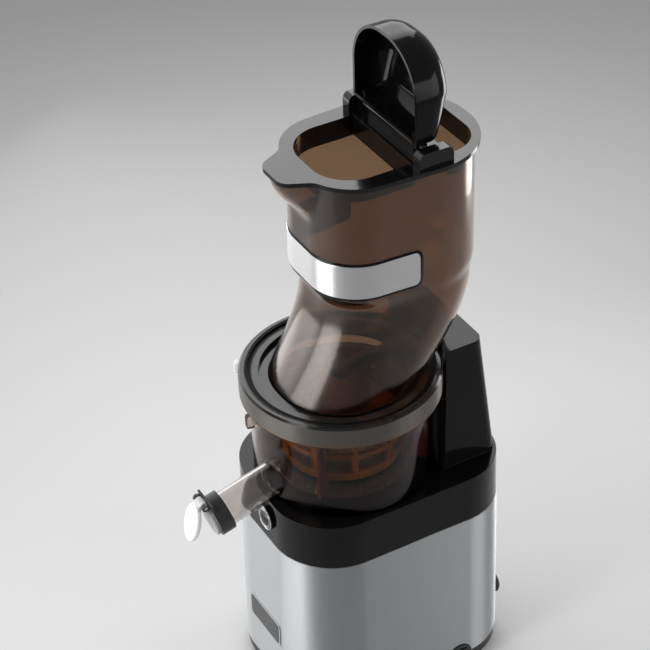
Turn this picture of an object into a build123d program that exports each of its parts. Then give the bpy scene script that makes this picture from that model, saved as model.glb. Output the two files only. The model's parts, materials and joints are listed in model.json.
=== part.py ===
from build123d import *
import os
from math import cos, pi, radians, sin, sqrt, tan

# Cold press juicer. Millimetres, +Z up, -Y to the front. Everything is laid out about the drive
# axis with the floor at height 0, and the finished set is then moved as one so that the origin
# lies under the middle of the outer box.

# ---- fits
run_gap = 0.05          # radial, shaft in a bearing or a bush
seat_gap = 0.02         # radial, parts pushed together
slip_gap = 0.4          # between parts that lift apart or turn past each other
wipe_gap = 0.5          # wiper edge to the wall that it sweeps

# ---- base outline
deck_margin = 7.0       # bowl's foot to the sleeve's top edge, at the front and the sides
base_rear = 132.5       # drive axis to the back
base_front_corner = 58.0
base_rear_corner = 53.0
base_flare = 1.7        # extra on each side at the sleeve's foot

# ---- feet, tray and sleeve
foot_height = 4.0
foot_radius = 13.0
foot_recess = 1.5
foot_inset_x = 44.0
foot_front_y = -56.0
foot_rear_y = 104.0
tray_floor = 3.0
tray_wall = 3.0
tray_inset = 1.4
tray_lip_height = 15.0  # where the sleeve stands on the tray
tray_collar_top = 26.0
sleeve_top = 175.5
sleeve_wall = 1.2
screw_radius = 2.0
screw_head_radius = 4.2
screw_head_height = 2.2
screw_length = 22.0
vent_count = 7
vent_width = 3.5
vent_length = 46.0
vent_pitch = 9.0

# ---- top cover, bowl well and rear tower
cover_height = 45.0     # sleeve's top to the deck
cover_wall = 3.0
cover_step = 0.8        # the cover stands in from the sleeve by this much
cover_lip = 6.0         # how far its lip reaches down inside the sleeve
well_depth = 5.0
boss_radius = 24.0
boss_height = 4.0       # above the well's floor
tower_over = 13.6       # above the lid ring
tower_half_top = 48.0
tower_half_foot = 58.5
tower_setback = 8.0     # back of the base to the tower's foot
tower_lean = 9.5
tower_corner = 10.0
tower_gap = 3.0         # lid ring to the tower's hollow front

# ---- small parts of the base
badge_width = 56.0
badge_height = 26.0
badge_corner = 5.0
badge_thickness = 0.9
badge_z = 69.0
lens_x = 12.0
lens_drop = 20.5        # below the deck
lens_radius = 8.4
bezel_radius = 11.5
bezel_reach = 3.0
switch_y = 70.0
switch_z = 14.5
switch_half = 12.0      # half width of the arched housing
switch_top = 27.0
switch_depth = 18.0
rocker_width = 13.0
rocker_height = 15.0
rocker_depth = 7.0
rocker_pin = 1.5
cord_x = 38.0
cord_z = 38.0
cord_radius = 4.0
gland_neck = 7.0
gland_flange = 11.0
gland_reach = 5.0
board_length = 74.0
board_width = 30.0
board_thickness = 1.6
board_rise = 6.0
board_post = 3.0
board_middle = -58.0
board_edge = 5.0        # post centre to the board's edge
coil_width = 16.0
coil_height = 14.0
coil_x = -20.0
sink_length = 18.0
sink_thickness = 4.0
sink_height = 22.0
sink_x = 7.0
can_radius = 5.0
can_height = 16.0
can_x = 24.0
capacitor_side = 11.0   # base's edge to the can
capacitor_y = 12.0
capacitor_radius = 15.0
capacitor_height = 62.0
sensor_width = 18.0
sensor_depth = 6.0

# ---- motor and gear train
small_tooth_count = 10
large_tooth_count = 40
first_module = 1.25
second_module = 1.8
tooth_backlash = 0.36
tooth_reach = 0.9       # beyond the pitch circle, in modules
tooth_depth = 1.1       # below it
gear_plate_drop = 51.5  # sleeve's top to the gear plate
gear_plate = 6.0
first_width = 9.0
second_width = 12.0
stage_gap = 3.0
gearbox_wall = 3.5
gearbox_height = 33.0
gear_room = 3.0         # round the gears inside their case
bearing_boss = 26.0
shaft_radius = 8.0
bearing_radius = 14.0
bearing_width = 7.0
seal_height = 5.0
layshaft_radius = 4.0
bush_radius = 7.0
motor_shaft_radius = 3.5
motor_bearing_radius = 9.5
motor_radius = 43.0
motor_foot = 30.0
motor_wall = 2.0
stator_bore = 23.0
stator_height = 44.0
air_gap = 0.6
winding_height = 8.0
fan_radius = 33.0
fan_height = 7.0
fan_blades = 7
blade_lean = 32.0
fan_thickness = 1.6
fan_hub = 5.0           # beyond the shaft
case_slots = 6
slot_width = 8.0
slot_near = 16.0
slot_far = 34.0
case_end = 3.0          # thickness of the case's ends
leg_radius = 7.5
leg_x = 57.0
leg_front_y = -34.0
leg_rear_y = 66.0

# ---- drive coupling
hex_radius = 7.5        # corner radius of the hexagonal end
hex_gap = 0.35
hex_reach = 23.0        # above the bowl's floor
socket_radius = 10.2
socket_height = 30.0
socket_collar = 6.0     # below the screw's foot

# ---- bowl
bowl_radius = 79.0
bowl_wall = 2.6
bowl_foot_step = 2.0    # foot inside the wall
bowl_foot_wall = 3.0
bowl_foot_height = 8.0  # well's floor to the underside of the bowl's floor
bowl_floor = 3.5
rim_room = 16.0         # strainer's top to the bowl's rim
flange_reach = 4.5
flange_drop = 9.0       # below the rim
bowl_flange = 3.0
hub_bore = 11.0
hub_radius = 14.5
hub_height = 16.0
hub_seal_height = 3.0
step_height = 13.0      # raised ring that the strainer stands on
spout_x = 12.0
spout_rise = 12.7       # bowl's floor to its axis where it leaves the bowl
spout_slope = 15.0
spout_radius = 15.8
spout_wall = 2.4
spout_length = 60.0
pulp_width = 36.0
pulp_height = 28.0
pulp_wall = 2.6
pulp_rise = 13.5
pulp_slope = 6.0
pulp_length = 59.0      # beyond the bowl's wall
pulp_corner = 9.0
plug_length = 24.0
plug_width = 18.0
plug_depth = 4.0
plug_corner = 6.0
plug_inset = 10.0       # from the foot's inside
spout_root = 10.0       # how far the cutting bars start inside

# ---- juice cap
cap_length = 13.0
cap_radius = 18.4
cap_lip = 2.0
gate_thickness = 2.6
seal_thickness = 1.0
cap_pin_radius = 1.6
cap_pin_rise = 21.5     # hinge above the spout's axis
cap_ear = 2.6
ear_spread = 8.0        # hinge's middle to each ear
ear_radius = 3.4
hinge_plate_width = 26.0
hinge_plate_height = 12.0
knuckle_radius = 3.2
knuckle_length = 11.0
lever_width = 24.0
lever_length = 37.0
lever_thickness = 4.6
lever_rise = 2.0        # pad's middle above the knuckle
lever_root = 4.0
lever_angle = 30.0      # thumb pad away from the gate

# ---- juicing set
juice_module = 2.0
auger_tooth_count = 24
idler_tooth_count = 15
juice_gear_width = 8.0
idler_pin_radius = 3.0
strainer_foot_radius = 52.0
wiper_reach = 6.4       # brush posts to the bowl's wall
strainer_height = 58.0
strainer_wall = 2.2
strainer_floor = 3.0
strainer_rim = 1.6
strainer_rim_height = 4.0
screen_wall = 0.5
window_count = 10
row_count = 2
window_bar = 5.0
post_count = 4
brush_gap = 3.0         # strainer to the brush posts
brush_bar = 5.0
brush_ring_height = 4.0
blade_thickness = 2.0
auger_neck = 20.0
auger_core = 26.0
flight_count = 2
flight_width = 8.0
flight_turn = 250.0
shoulder_rise = 2.0     # above the strainer's top
shoulder_bevel = 8.0
crown_gap = 1.0         # crown to the lid's seat
crown_tip = 10.0        # radius of the crown's top
spigot = 8.0
auger_pin_radius = 6.0
auger_pin = 8.0
auger_play = 1.0        # flight to strainer

# ---- lid
skirt_gap = 1.3         # bowl's flange to the ring's skirt
ring_wall = 2.7
skirt_drop = 1.5        # skirt below the bowl's flange
ring_rise = 10.4        # above the bowl's rim
ring_land = 7.5         # outer land, then one step down
ring_step = 2.0
seat_land = 6.5         # chute's foot to the edge of the ring's shelf
seat_rise = 4.0         # above the bowl's rim
seat_wall = 3.0
throat_lip = 6.0        # chute's foot to the throat
gasket_height = 2.0
bridge_width = 8.0
bridge_height = 10.0
tab_angle = -128.0
tab_width = 9.0
tab_reach = 3.5

# ---- chute: a round foot, a slanting elbow, and a wide upright hopper set back from the axis
chute_wall = 2.8
foot_inset = 15.0       # bowl's wall to the chute's foot
elbow_rise = 94.0
flare_rise = 14.0
flare_front = 8.0
flare_side = 1.9
hopper_height = 105.0
hopper_front = -32.0
hopper_rear = 121.4
hopper_narrow = 1.0     # chute's foot to the hopper's rear half
hopper_taper = 9.4      # rear half to the front half
hopper_flat_front = 10.6
hopper_flat_rear = 6.0  # half of the flat wall between the corners
station_count = 4
band_rise = 2.0         # above the hopper's foot
band_height = 31.0
band_thickness = 0.9
band_rear = 45.0
lip_drop = 27.0
lip_half = 27.0
lip_root = 6.0          # how far its ellipse starts behind the front wall
lip_inset = 3.0         # behind the tab's tip
lip_sink = 1.0          # its foot starts inside the wall
lip_power = 1.5

# ---- rim plate and flap
rim_thickness = 4.0
rim_overhang = 4.3
rim_skirt = 15.0
rim_skirt_wall = 2.0
rim_tab = 26.0          # beyond the hopper's front
tab_tip_half = 17.0
tab_tip_corner = 13.0
tab_root_half = 34.0
tab_root = 8.0
tab_blend = 16.0
mouth_margin = 6.0
mouth_side = 8.6
hinge_land = 12.0       # flap's axis to the feed opening
hinge_land_rear = 23.0
mouth_flat = 11.0
vent_mouth_margin = 8.4
vent_mouth_side = 16.0
vent_mouth_flat = 17.0
flap_axis_y = 56.0
flap_axis_rise = 10.0   # above the rim plate
flap_pin_radius = 2.2
flap_barrel = 5.2
flap_side = 14.0        # hopper's side to the flap's
flap_foot = 17.0        # flap's lower edge above the plate
flap_height = 78.0
flap_flat = 5.0
flap_lead = 9.0         # flap's open face ahead of its axis
flap_depth = 27.0
flap_round = 15.0
flap_wall = 2.6
flap_ear = 6.0
flap_ear_x = 36.0
cheek_gap = 1.0         # flap's side to the cheek
cheek_width = 10.0
cheek_lead = 13.0
cheek_length = 32.0
cheek_round = 6.0
barrel_web = 7.0
pin_inset = 3.0         # pin's ends inside the cheeks

# ---- worked out from the sizes above
bowl_foot_radius = bowl_radius - bowl_foot_step
base_width = 2 * (bowl_foot_radius + deck_margin)
base_front = -(bowl_foot_radius + deck_margin)
base_depth = base_rear - base_front
capacitor_x = capacitor_radius + capacitor_side - base_width / 2
cover_top = sleeve_top + cover_height
gear_plate_top = sleeve_top - gear_plate_drop
lens_z = cover_top - lens_drop
tower_rear_foot = base_rear - tower_setback
tower_rear_top = tower_rear_foot - tower_lean
sleeve_foot = tray_lip_height
tray_top = foot_height + tray_floor
well_radius = bowl_foot_radius + slip_gap
well_floor_z = cover_top - well_depth
bowl_floor_z = well_floor_z + bowl_foot_height + bowl_floor
shaft_hole = shaft_radius + slip_gap
first_small = first_module * small_tooth_count / 2
first_large = first_module * large_tooth_count / 2
second_small = second_module * small_tooth_count / 2
second_large = second_module * large_tooth_count / 2
layshaft_y = second_small + second_large
motor_y = layshaft_y + first_small + first_large
first_z = gear_plate_top + stage_gap
second_z = first_z + first_width + stage_gap
gearbox_roof = gear_plate_top + gearbox_height
gearbox_top = gearbox_roof + gearbox_wall
boss_top = gearbox_top + bearing_boss
motor_top = gear_plate_top - gear_plate
stator_foot = (motor_foot + motor_top) / 2 - stator_height / 2
hex_foot = boss_top + seal_height
hex_top = bowl_floor_z + hex_reach
auger_pitch = juice_module * auger_tooth_count / 2
idler_pitch = juice_module * idler_tooth_count / 2
ring_tooth_count = auger_tooth_count + 2 * idler_tooth_count
ring_pitch = juice_module * ring_tooth_count / 2
idler_r = auger_pitch + idler_pitch
juice_gear_z = bowl_floor_z + 1.0
step_top = bowl_floor_z + step_height
strainer_top = step_top + strainer_height
strainer_top_radius = bowl_radius - bowl_wall - wiper_reach - brush_bar - brush_gap
bowl_rim_z = strainer_top + rim_room
bowl_flange_z = bowl_rim_z - flange_drop
bowl_flange_radius = bowl_radius + flange_reach
spout_z = bowl_floor_z + spout_rise
pulp_z = bowl_floor_z + pulp_rise
pulp_reach = bowl_radius + pulp_length
hub_top = bowl_floor_z + hub_height
auger_foot = hub_top + hub_seal_height + slip_gap
auger_shoulder = strainer_top + shoulder_rise
gasket_z = bowl_rim_z
ring_radius = bowl_flange_radius + skirt_gap + ring_wall
ring_bottom = bowl_flange_z - skirt_drop
ring_top = bowl_rim_z + ring_rise
seat_z = bowl_rim_z + seat_rise
crown_top = seat_z - crown_gap
tower_top = ring_top + tower_over
foot_half = bowl_radius - foot_inset
ring_shelf = foot_half + seat_land
throat_radius = foot_half - throat_lip
waist_z = seat_z + elbow_rise
waist_front = hopper_front + flare_front
hopper_half_rear = foot_half - hopper_narrow
hopper_half_front = hopper_half_rear - hopper_taper
hopper_corner_front = hopper_half_front - hopper_flat_front
hopper_corner_rear = hopper_half_rear - hopper_flat_rear
waist_half = hopper_half_front - flare_side
hopper_z = waist_z + flare_rise
hopper_top = hopper_z + hopper_height
band_bottom = hopper_z + band_rise
band_top = band_bottom + band_height
tab_tip_y = hopper_front - rim_tab
mouth_front = hopper_front + mouth_margin
mouth_half = hopper_half_front - mouth_side
mouth_corner = mouth_half - mouth_flat
vent_mouth_half = hopper_half_rear - vent_mouth_side
vent_mouth_corner = vent_mouth_half - vent_mouth_flat
flap_half = hopper_half_rear - flap_side
flap_corner = flap_half - flap_flat
cheek_half = flap_half + cheek_gap + cheek_width
mouth_rear = flap_axis_y - hinge_land
vent_mouth_front = flap_axis_y + hinge_land_rear
vent_mouth_rear = hopper_rear - vent_mouth_margin
flap_front = flap_axis_y - flap_lead
cheek_front = flap_axis_y - cheek_lead
plate_z = hopper_top
plate_top = plate_z + rim_thickness
flap_axis_z = plate_top + flap_axis_rise
front_flat = base_front - base_flare


def disc(radius, low, high, x=0.0, y=0.0):
    """Upright round bar from height low to height high."""
    bar = Cylinder(radius, high - low, align=(Align.CENTER, Align.CENTER, Align.MIN))
    return Pos(x, y, low) * bar


def tube(outer, inner, low, high, x=0.0, y=0.0):
    """Upright round tube."""
    return disc(outer, low, high, x, y) - disc(inner, low - 1, high + 1, x, y)


def block(x_low, x_high, y_low, y_high, z_low, z_high):
    """Box between two corners."""
    box = Box(x_high - x_low, y_high - y_low, z_high - z_low, align=(Align.MIN,) * 3)
    return Pos(x_low, y_low, z_low) * box


def turned(*points):
    """Body of revolution about the drive axis from (radius, height) points."""
    corners = [(radius, 0, height) for radius, height in points]
    return revolve(make_face(Polyline(*corners, close=True)), Axis.Z)


def around(shape, count, start=0.0):
    """Copies of a shape, evenly spaced about the drive axis."""
    return [Rot(0, 0, start + 360 / count * turn) * shape for turn in range(count)]


def gear_outline(teeth, module, inner=False):
    """Spur gear outline: straight flanks set at 20 degrees through the pitch circle."""
    pitch = module * teeth / 2
    above, below = (tooth_depth, tooth_reach) if inner else (tooth_reach, tooth_depth)
    slack = tooth_backlash if inner else -tooth_backlash
    half = pi * module / 4 + slack / 2
    slant = tan(radians(20))
    tip = pitch + above * module
    root = pitch - below * module
    wide = (half + slant * (pitch - root)) / pitch
    narrow = (half - slant * (tip - pitch)) / pitch
    points = []
    for tooth in range(teeth):
        middle = 2 * pi * tooth / teeth
        for radius, angle in ((root, -wide), (tip, -narrow), (tip, narrow), (root, wide)):
            points.append((radius * cos(middle + angle), radius * sin(middle + angle)))
    return make_face(Polyline(*points, close=True))


def gear(teeth, module, low, width, x=0.0, y=0.0, turn=0.0):
    """Spur gear blank with its teeth; turn is in degrees."""
    return Pos(x, y, low) * Rot(0, 0, turn) * extrude(gear_outline(teeth, module), width)


def mesh_turn(teeth):
    """Turn that puts a tooth space, not a tooth, on the side facing -Y."""
    return 180 / teeth - 90


# ---- base

def base_outline(z, inset=0.0):
    """Rounded outline of the base at height z, drawn in by inset."""
    grow = base_flare * (sleeve_top - z) / (sleeve_top - sleeve_foot) - inset
    outline = Rectangle(base_width + 2 * grow, base_depth + 2 * grow)
    outline = fillet(outline.vertices().group_by(Axis.Y)[0], base_front_corner + grow)
    outline = fillet(outline.vertices().group_by(Axis.Y)[-1], base_rear_corner + grow)
    return Pos(0, base_rear - base_depth / 2, z) * outline


def base_slab(low, high, inset=0.0):
    """Slice of the gently tapering base between two heights."""
    return loft([base_outline(low, inset), base_outline(high, inset)], ruled=True)


def corners(x, front, rear):
    """The four points at plus and minus x, front and rear."""
    return [(side * x, y) for side in (-1, 1) for y in (front, rear)]


def arch_outline(grow=0.0):
    """Arched outline of the switch housing, in the YZ plane."""
    half = switch_half + grow
    straight = switch_top - switch_half
    low = foot_height - grow
    arch = Pos(switch_y, straight) * Circle(half)
    post = Pos(switch_y, (low + straight) / 2) * Rectangle(2 * half, straight - low)
    return Plane.YZ * (arch + post)


def arch_bar(x_low, x_high, grow=0.0):
    """Arched bar that runs along X."""
    return Pos(x_low, 0, 0) * extrude(arch_outline(grow), x_high - x_low)


def switch_face():
    """Where the switch housing ends, just proud of the sleeve."""
    return base_width / 2 + base_flare + 1.5


def side_bar(radius, y_low, y_high, x, z):
    """Round bar that runs along Y."""
    bar = Cylinder(radius, y_high - y_low, align=(Align.CENTER, Align.CENTER, Align.MIN))
    return Pos(x, y_low, z) * Rot(-90, 0, 0) * bar


def base_tray():
    lip = base_slab(foot_height, sleeve_foot, tray_inset)
    collar_inset = sleeve_wall + slip_gap
    collar = base_slab(sleeve_foot - 1, tray_collar_top, collar_inset)
    room = base_slab(tray_top, tray_collar_top + 1, collar_inset + tray_wall)
    tray = lip + collar - room
    for x, y in corners(foot_inset_x, foot_front_y, foot_rear_y):
        tray -= disc(foot_radius + slip_gap, 0, foot_height + foot_recess, x, y)
        tray -= disc(foot_radius / 3 + slip_gap, 0, tray_top + 1, x, y)
    for x, y in corners(leg_x, leg_front_y, leg_rear_y):
        tray -= disc(screw_radius + slip_gap, 0, tray_top + 1, x, y)
        tray -= disc(screw_head_radius + slip_gap, 0, foot_height + screw_head_height / 2, x, y)
    for number in range(vent_count):
        y = motor_y + (number - (vent_count - 1) / 2) * vent_pitch
        tray -= block(-vent_length / 2, vent_length / 2, y, y + vent_width, 0, tray_top + 1)
    for x, y in corners(board_x(), board_y(-1), board_y(1)):
        tray += disc(board_post, tray_top, tray_top + board_rise, x, y)
    return tray - arch_bar(switch_face() - switch_depth - 1, switch_face() + 5, slip_gap)


def rubber_feet():
    feet = []
    for x, y in corners(foot_inset_x, foot_front_y, foot_rear_y):
        pad = disc(foot_radius, 0, foot_height + foot_recess, x, y)
        pad = chamfer(pad.edges().group_by(Axis.Z)[0], 1.0)
        feet.append(pad + disc(foot_radius / 3, foot_height, tray_top, x, y))
    return feet


def tray_screws():
    head_z = foot_height + screw_head_height / 2 - screw_head_height
    screws = []
    for x, y in corners(leg_x, leg_front_y, leg_rear_y):
        head = disc(screw_head_radius, head_z, head_z + screw_head_height, x, y)
        screws.append(head + disc(screw_radius, head_z, head_z + screw_length, x, y))
    return screws


def body_shell():
    shell = base_slab(sleeve_foot, sleeve_top) - base_slab(sleeve_foot - 1, sleeve_top + 1, sleeve_wall)
    shell -= arch_bar(base_width / 2 - 20, base_width / 2 + 20, slip_gap)
    return shell - side_bar(gland_neck + slip_gap, base_rear - 10, base_rear + 10, cord_x, cord_z)


def badge_plate():
    """Bare plate that hugs the front of the sleeve."""
    face = RectangleRounded(badge_width, badge_height, badge_corner)
    bar = extrude(Plane.XZ * face, badge_width / 2, both=True)
    bar = Pos(0, base_front, badge_z) * bar
    skin = base_slab(sleeve_foot, sleeve_top, -badge_thickness)
    skin -= base_slab(sleeve_foot - 1, sleeve_top + 1)
    return bar & skin


def tower_outline(z, inset=0.0):
    """Outline of the rear tower at height z, before its front is hollowed."""
    share = (z - cover_top) / (tower_top - cover_top)
    half = tower_half_foot + (tower_half_top - tower_half_foot) * share - inset
    rear = tower_rear_foot + (tower_rear_top - tower_rear_foot) * share - inset
    front = bowl_radius / 2
    outline = Pos(0, (front + rear) / 2) * Rectangle(2 * half, rear - front)
    outline = fillet(outline.vertices().group_by(Axis.Y)[-1], tower_corner - inset)
    return Pos(0, 0, z) * outline


def tower(low, high, inset=0.0):
    """Tower whose front is hollowed to stand round the lid ring."""
    body = loft([tower_outline(low, inset), tower_outline(high, inset)], ruled=True)
    return body - disc(ring_radius + tower_gap + inset, low - 1, high + 1)


def top_cover():
    deck = cover_top - cover_wall
    cover = base_slab(sleeve_top, cover_top, cover_step)
    cover -= base_slab(sleeve_top - 1, deck, cover_step + cover_wall)
    lip_inset = sleeve_wall + slip_gap
    lip = base_slab(sleeve_top - cover_lip, sleeve_top + 1, lip_inset)
    cover += lip - base_slab(sleeve_top - cover_lip - 1, sleeve_top + 2, lip_inset + cover_wall)
    cover += tower(deck, tower_top)
    cover -= tower(deck - 1, tower_top - cover_wall, cover_wall)
    well_inside = base_slab(well_floor_z - cover_wall, cover_top, cover_step + 1)
    cover += disc(well_radius + cover_wall, well_floor_z - cover_wall, cover_top) & well_inside
    cover -= disc(well_radius, well_floor_z, cover_top + 1)
    cover += disc(boss_radius, well_floor_z - cover_wall, well_floor_z + boss_height)
    cover -= disc(shaft_hole, well_floor_z - cover_wall - 1, cover_top)
    return cover - side_bar(lens_radius + seat_gap, front_flat - 5, base_front + 9, lens_x, lens_z)


def front_skin(inset):
    """The cover's own outer body, used to trim what stands on its front."""
    return base_slab(sleeve_top, cover_top, inset)


def indicator_lens():
    """Round lens with a domed front and a stem through the cover."""
    face = base_front + cover_step
    stem = side_bar(lens_radius, face - bezel_reach, face + cover_wall + 2, lens_x, lens_z)
    dome_radius = lens_radius * 1.6
    sink = sqrt(dome_radius ** 2 - lens_radius ** 2)
    dome = Pos(lens_x, face - bezel_reach + sink, lens_z) * Sphere(dome_radius)
    return stem + (dome & side_bar(lens_radius, face - 20, face, lens_x, lens_z))


def indicator_bezel():
    face = base_front + cover_step
    ring = side_bar(bezel_radius, face - bezel_reach, face + 2, lens_x, lens_z)
    ring = chamfer(ring.edges().group_by(Axis.Y)[0], bezel_reach / 3)
    ring -= side_bar(lens_radius + seat_gap, face - 20, face + 20, lens_x, lens_z)
    return ring - front_skin(cover_step)


def switch_housing():
    face = switch_face()
    housing = arch_bar(face - switch_depth, face)
    pocket_y = rocker_width / 2 + slip_gap
    pocket_z = rocker_height / 2 + 2 * slip_gap
    pocket_x = face - rocker_depth - 3
    housing -= block(pocket_x, face + 1, switch_y - pocket_y, switch_y + pocket_y,
                     switch_z - pocket_z, switch_z + pocket_z)
    pin = side_bar(rocker_pin + run_gap, switch_y - switch_half + 2, switch_y + switch_half - 2,
                   face - rocker_depth / 2, switch_z)
    return housing - pin


def rocker_switch():
    """Three-position rocker: a bar with a hollowed front that turns on its own pin."""
    face = switch_face()
    x = face - rocker_depth / 2
    body = block(face - rocker_depth, face + 1.2, switch_y - rocker_width / 2,
                 switch_y + rocker_width / 2, switch_z - rocker_height / 2,
                 switch_z + rocker_height / 2)
    body -= side_bar(rocker_height, switch_y - rocker_width, switch_y + rocker_width,
                     face + rocker_height, switch_z)
    return body + side_bar(rocker_pin, switch_y - switch_half + 2.5, switch_y + switch_half - 2.5,
                           x, switch_z)


def cord_gland():
    """Rubber inlet bush for the mains lead, empty."""
    back = base_rear + base_flare
    neck = side_bar(gland_neck, back - 8, back, cord_x, cord_z)
    nose = side_bar(gland_flange, back - 5, back + gland_reach, cord_x, cord_z)
    nose = chamfer(nose.edges().group_by(Axis.Y)[-1], 2.0)
    bush = neck + (nose - base_slab(sleeve_foot - 1, sleeve_top))
    return bush - side_bar(cord_radius, back - 20, back + 20, cord_x, cord_z)


def board_x():
    return board_length / 2 - board_edge


def board_y(side):
    return board_middle + side * (board_width / 2 - board_edge)


def control_board():
    z = tray_top + board_rise
    board = block(-board_length / 2, board_length / 2, board_middle - board_width / 2,
                  board_middle + board_width / 2, z, z + board_thickness)
    parts_z = z + board_thickness
    coil = coil_width / 2
    board += block(coil_x - coil, coil_x + coil, board_middle - coil, board_middle + coil, parts_z,
                   parts_z + coil_height)
    board += block(sink_x - sink_length / 2, sink_x + sink_length / 2, board_middle - sink_thickness,
                   board_middle, parts_z, parts_z + sink_height)
    return board + disc(can_radius, parts_z, parts_z + can_height, can_x, board_middle)


def run_capacitor():
    can_top = tray_top + capacitor_height
    can = disc(capacitor_radius, tray_top, can_top, capacitor_x, capacitor_y)
    return can + disc(capacitor_radius * 0.4, can_top - 1, can_top + 5, capacitor_x, capacitor_y)


def lid_sensor():
    """Sensor on the inside of the tower's front wall, level with the lid ring."""
    inner_face = ring_radius + tower_gap + cover_wall
    half = sensor_width / 2
    middle = (ring_bottom + ring_top) / 2
    box = block(-half, half, inner_face - 2, inner_face + sensor_depth,
                middle - sensor_depth, middle + sensor_depth)
    return box - disc(inner_face, ring_bottom, ring_top)


# ---- gearbox and motor

def train_outline(margin):
    """Outline round the three shafts of the gear train."""
    wide = second_large + second_module + gear_room + margin
    middle = first_large + first_module + gear_room + margin
    small = first_small + first_module + gear_room + margin
    return Circle(wide) + Pos(0, layshaft_y) * Circle(middle) + Pos(0, motor_y) * Circle(small)


def gearbox_base():
    """Cast plate on four legs; carries the gearbox and hangs the motor."""
    low = gear_plate_top - gear_plate
    front = leg_front_y - leg_radius
    rear = leg_rear_y + leg_radius
    half = leg_x + leg_radius
    plate = Pos(0, (front + rear) / 2) * RectangleRounded(2 * half, rear - front, leg_radius - 0.5)
    plate += Pos(0, motor_y) * Circle(motor_radius)
    plate += train_outline(gearbox_wall)
    casting = Pos(0, 0, low) * extrude(plate, gear_plate)
    for x, y in corners(leg_x, leg_front_y, leg_rear_y):
        casting += disc(leg_radius, tray_top, low + 1, x, y)
        casting -= disc(screw_radius, tray_top - 1, foot_height + screw_length, x, y)
    casting += disc(bearing_radius + 4, low - 6, low + 1)
    casting -= disc(bearing_radius + seat_gap, gear_plate_top - bearing_width, gear_plate_top + 1)
    casting -= disc(shaft_hole, low - 10, gear_plate_top)
    casting -= disc(bush_radius + seat_gap, low - 1, gear_plate_top + 1, 0, layshaft_y)
    return casting - disc(motor_bearing_radius, low - 1, gear_plate_top + 1, 0, motor_y)


def gearbox_cover():
    """Cast cover with a tall boss for the upper bearing and the seal."""
    cover = Pos(0, 0, gear_plate_top) * extrude(train_outline(gearbox_wall), gearbox_top - gear_plate_top)
    cover -= Pos(0, 0, gear_plate_top - 1) * extrude(train_outline(0), gearbox_height + 1)
    cover += disc(bearing_radius + 4, gearbox_roof - 1, boss_top)
    seat_low = boss_top - seal_height - bearing_width
    cover -= disc(bearing_radius + seat_gap, seat_low, boss_top + 1)
    cover -= disc(shaft_hole, gearbox_roof - 2, boss_top)
    return cover - disc(bush_radius + seat_gap, gearbox_roof - 2, gearbox_top + 1, 0, layshaft_y)


def lower_bearing():
    return tube(bearing_radius, shaft_radius + run_gap, gear_plate_top - bearing_width, gear_plate_top)


def upper_bearing():
    low = boss_top - seal_height - bearing_width
    return tube(bearing_radius, shaft_radius + run_gap, low, low + bearing_width)


def shaft_seal():
    return tube(bearing_radius, shaft_radius + run_gap, boss_top - seal_height, boss_top)


def layshaft_bushes():
    low = gear_plate_top - gear_plate
    bore = layshaft_radius + run_gap
    return [tube(bush_radius, bore, low, gear_plate_top, 0, layshaft_y),
            tube(bush_radius, bore, gearbox_roof, gearbox_top, 0, layshaft_y)]


def drive_shaft():
    """Round in the bearings, hexagonal above, with a chamfered tip."""
    low = gear_plate_top - bearing_width
    shaft = disc(shaft_radius, low, hex_foot)
    tip = Pos(0, 0, hex_foot) * extrude(RegularPolygon(hex_radius, 6), hex_top - hex_foot)
    cone = turned((0, hex_foot), (hex_radius + 1, hex_foot), (hex_radius + 1, hex_top - 3),
                  (hex_radius - 2, hex_top), (0, hex_top))
    return shaft + (tip & cone)


def output_gear():
    wheel = gear(large_tooth_count, second_module, second_z, second_width, turn=90)
    hollow = second_large * 0.8
    wheel -= tube(hollow, shaft_radius * 1.8, second_z + 4, second_z + second_width + 1)
    return wheel - disc(shaft_radius + seat_gap, second_z - 1, second_z + second_width + 1)


def layshaft_gears():
    """Large first-stage gear and small second-stage gear on one shaft."""
    large = gear(large_tooth_count, first_module, first_z, first_width, y=layshaft_y, turn=90)
    turn = mesh_turn(small_tooth_count)
    small = gear(small_tooth_count, second_module, first_z + first_width - 1, second_width + 4,
                 y=layshaft_y, turn=turn)
    low = gear_plate_top - gear_plate
    return large + small + disc(layshaft_radius, low, gearbox_top, 0, layshaft_y)


def motor_pinion():
    pinion = gear(small_tooth_count, first_module, first_z, first_width, y=motor_y,
                  turn=mesh_turn(small_tooth_count))
    return pinion - disc(motor_shaft_radius + seat_gap, first_z - 1, first_z + 20, 0, motor_y)


def motor_case():
    case = tube(motor_radius, motor_radius - motor_wall, motor_foot, motor_top, 0, motor_y)
    bore = motor_bearing_radius + seat_gap
    seat = tube(motor_radius - 1, bore, motor_foot, motor_foot + case_end, 0, motor_y)
    slot = block(slot_near, slot_far, -slot_width / 2, slot_width / 2,
                 motor_foot - 1, motor_foot + case_end + 1)
    for copy in around(slot, case_slots, 30):
        seat -= Pos(0, motor_y, 0) * copy
    top = tube(motor_radius - 1, bore, motor_top - case_end, motor_top, 0, motor_y)
    return case + seat + top


def motor_stator():
    high = stator_foot + stator_height
    outer = motor_radius - motor_wall - seat_gap
    return tube(outer, stator_bore, stator_foot, high, 0, motor_y)


def motor_windings():
    high = stator_foot + stator_height
    outer = motor_radius - motor_wall - 4
    return [tube(outer, stator_bore + 3, stator_foot - winding_height, stator_foot, 0, motor_y),
            tube(outer, stator_bore + 3, high, high + winding_height, 0, motor_y)]


def motor_bearings():
    bore = motor_shaft_radius + run_gap
    return [tube(motor_bearing_radius, bore, motor_foot, motor_foot + case_end, 0, motor_y),
            tube(motor_bearing_radius, bore, motor_top - case_end, motor_top, 0, motor_y)]


def motor_rotor():
    core = disc(stator_bore - air_gap, stator_foot - 1, stator_foot + stator_height + 1, 0, motor_y)
    return core + disc(motor_shaft_radius, motor_foot - 2, first_z + first_width, 0, motor_y)


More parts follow.
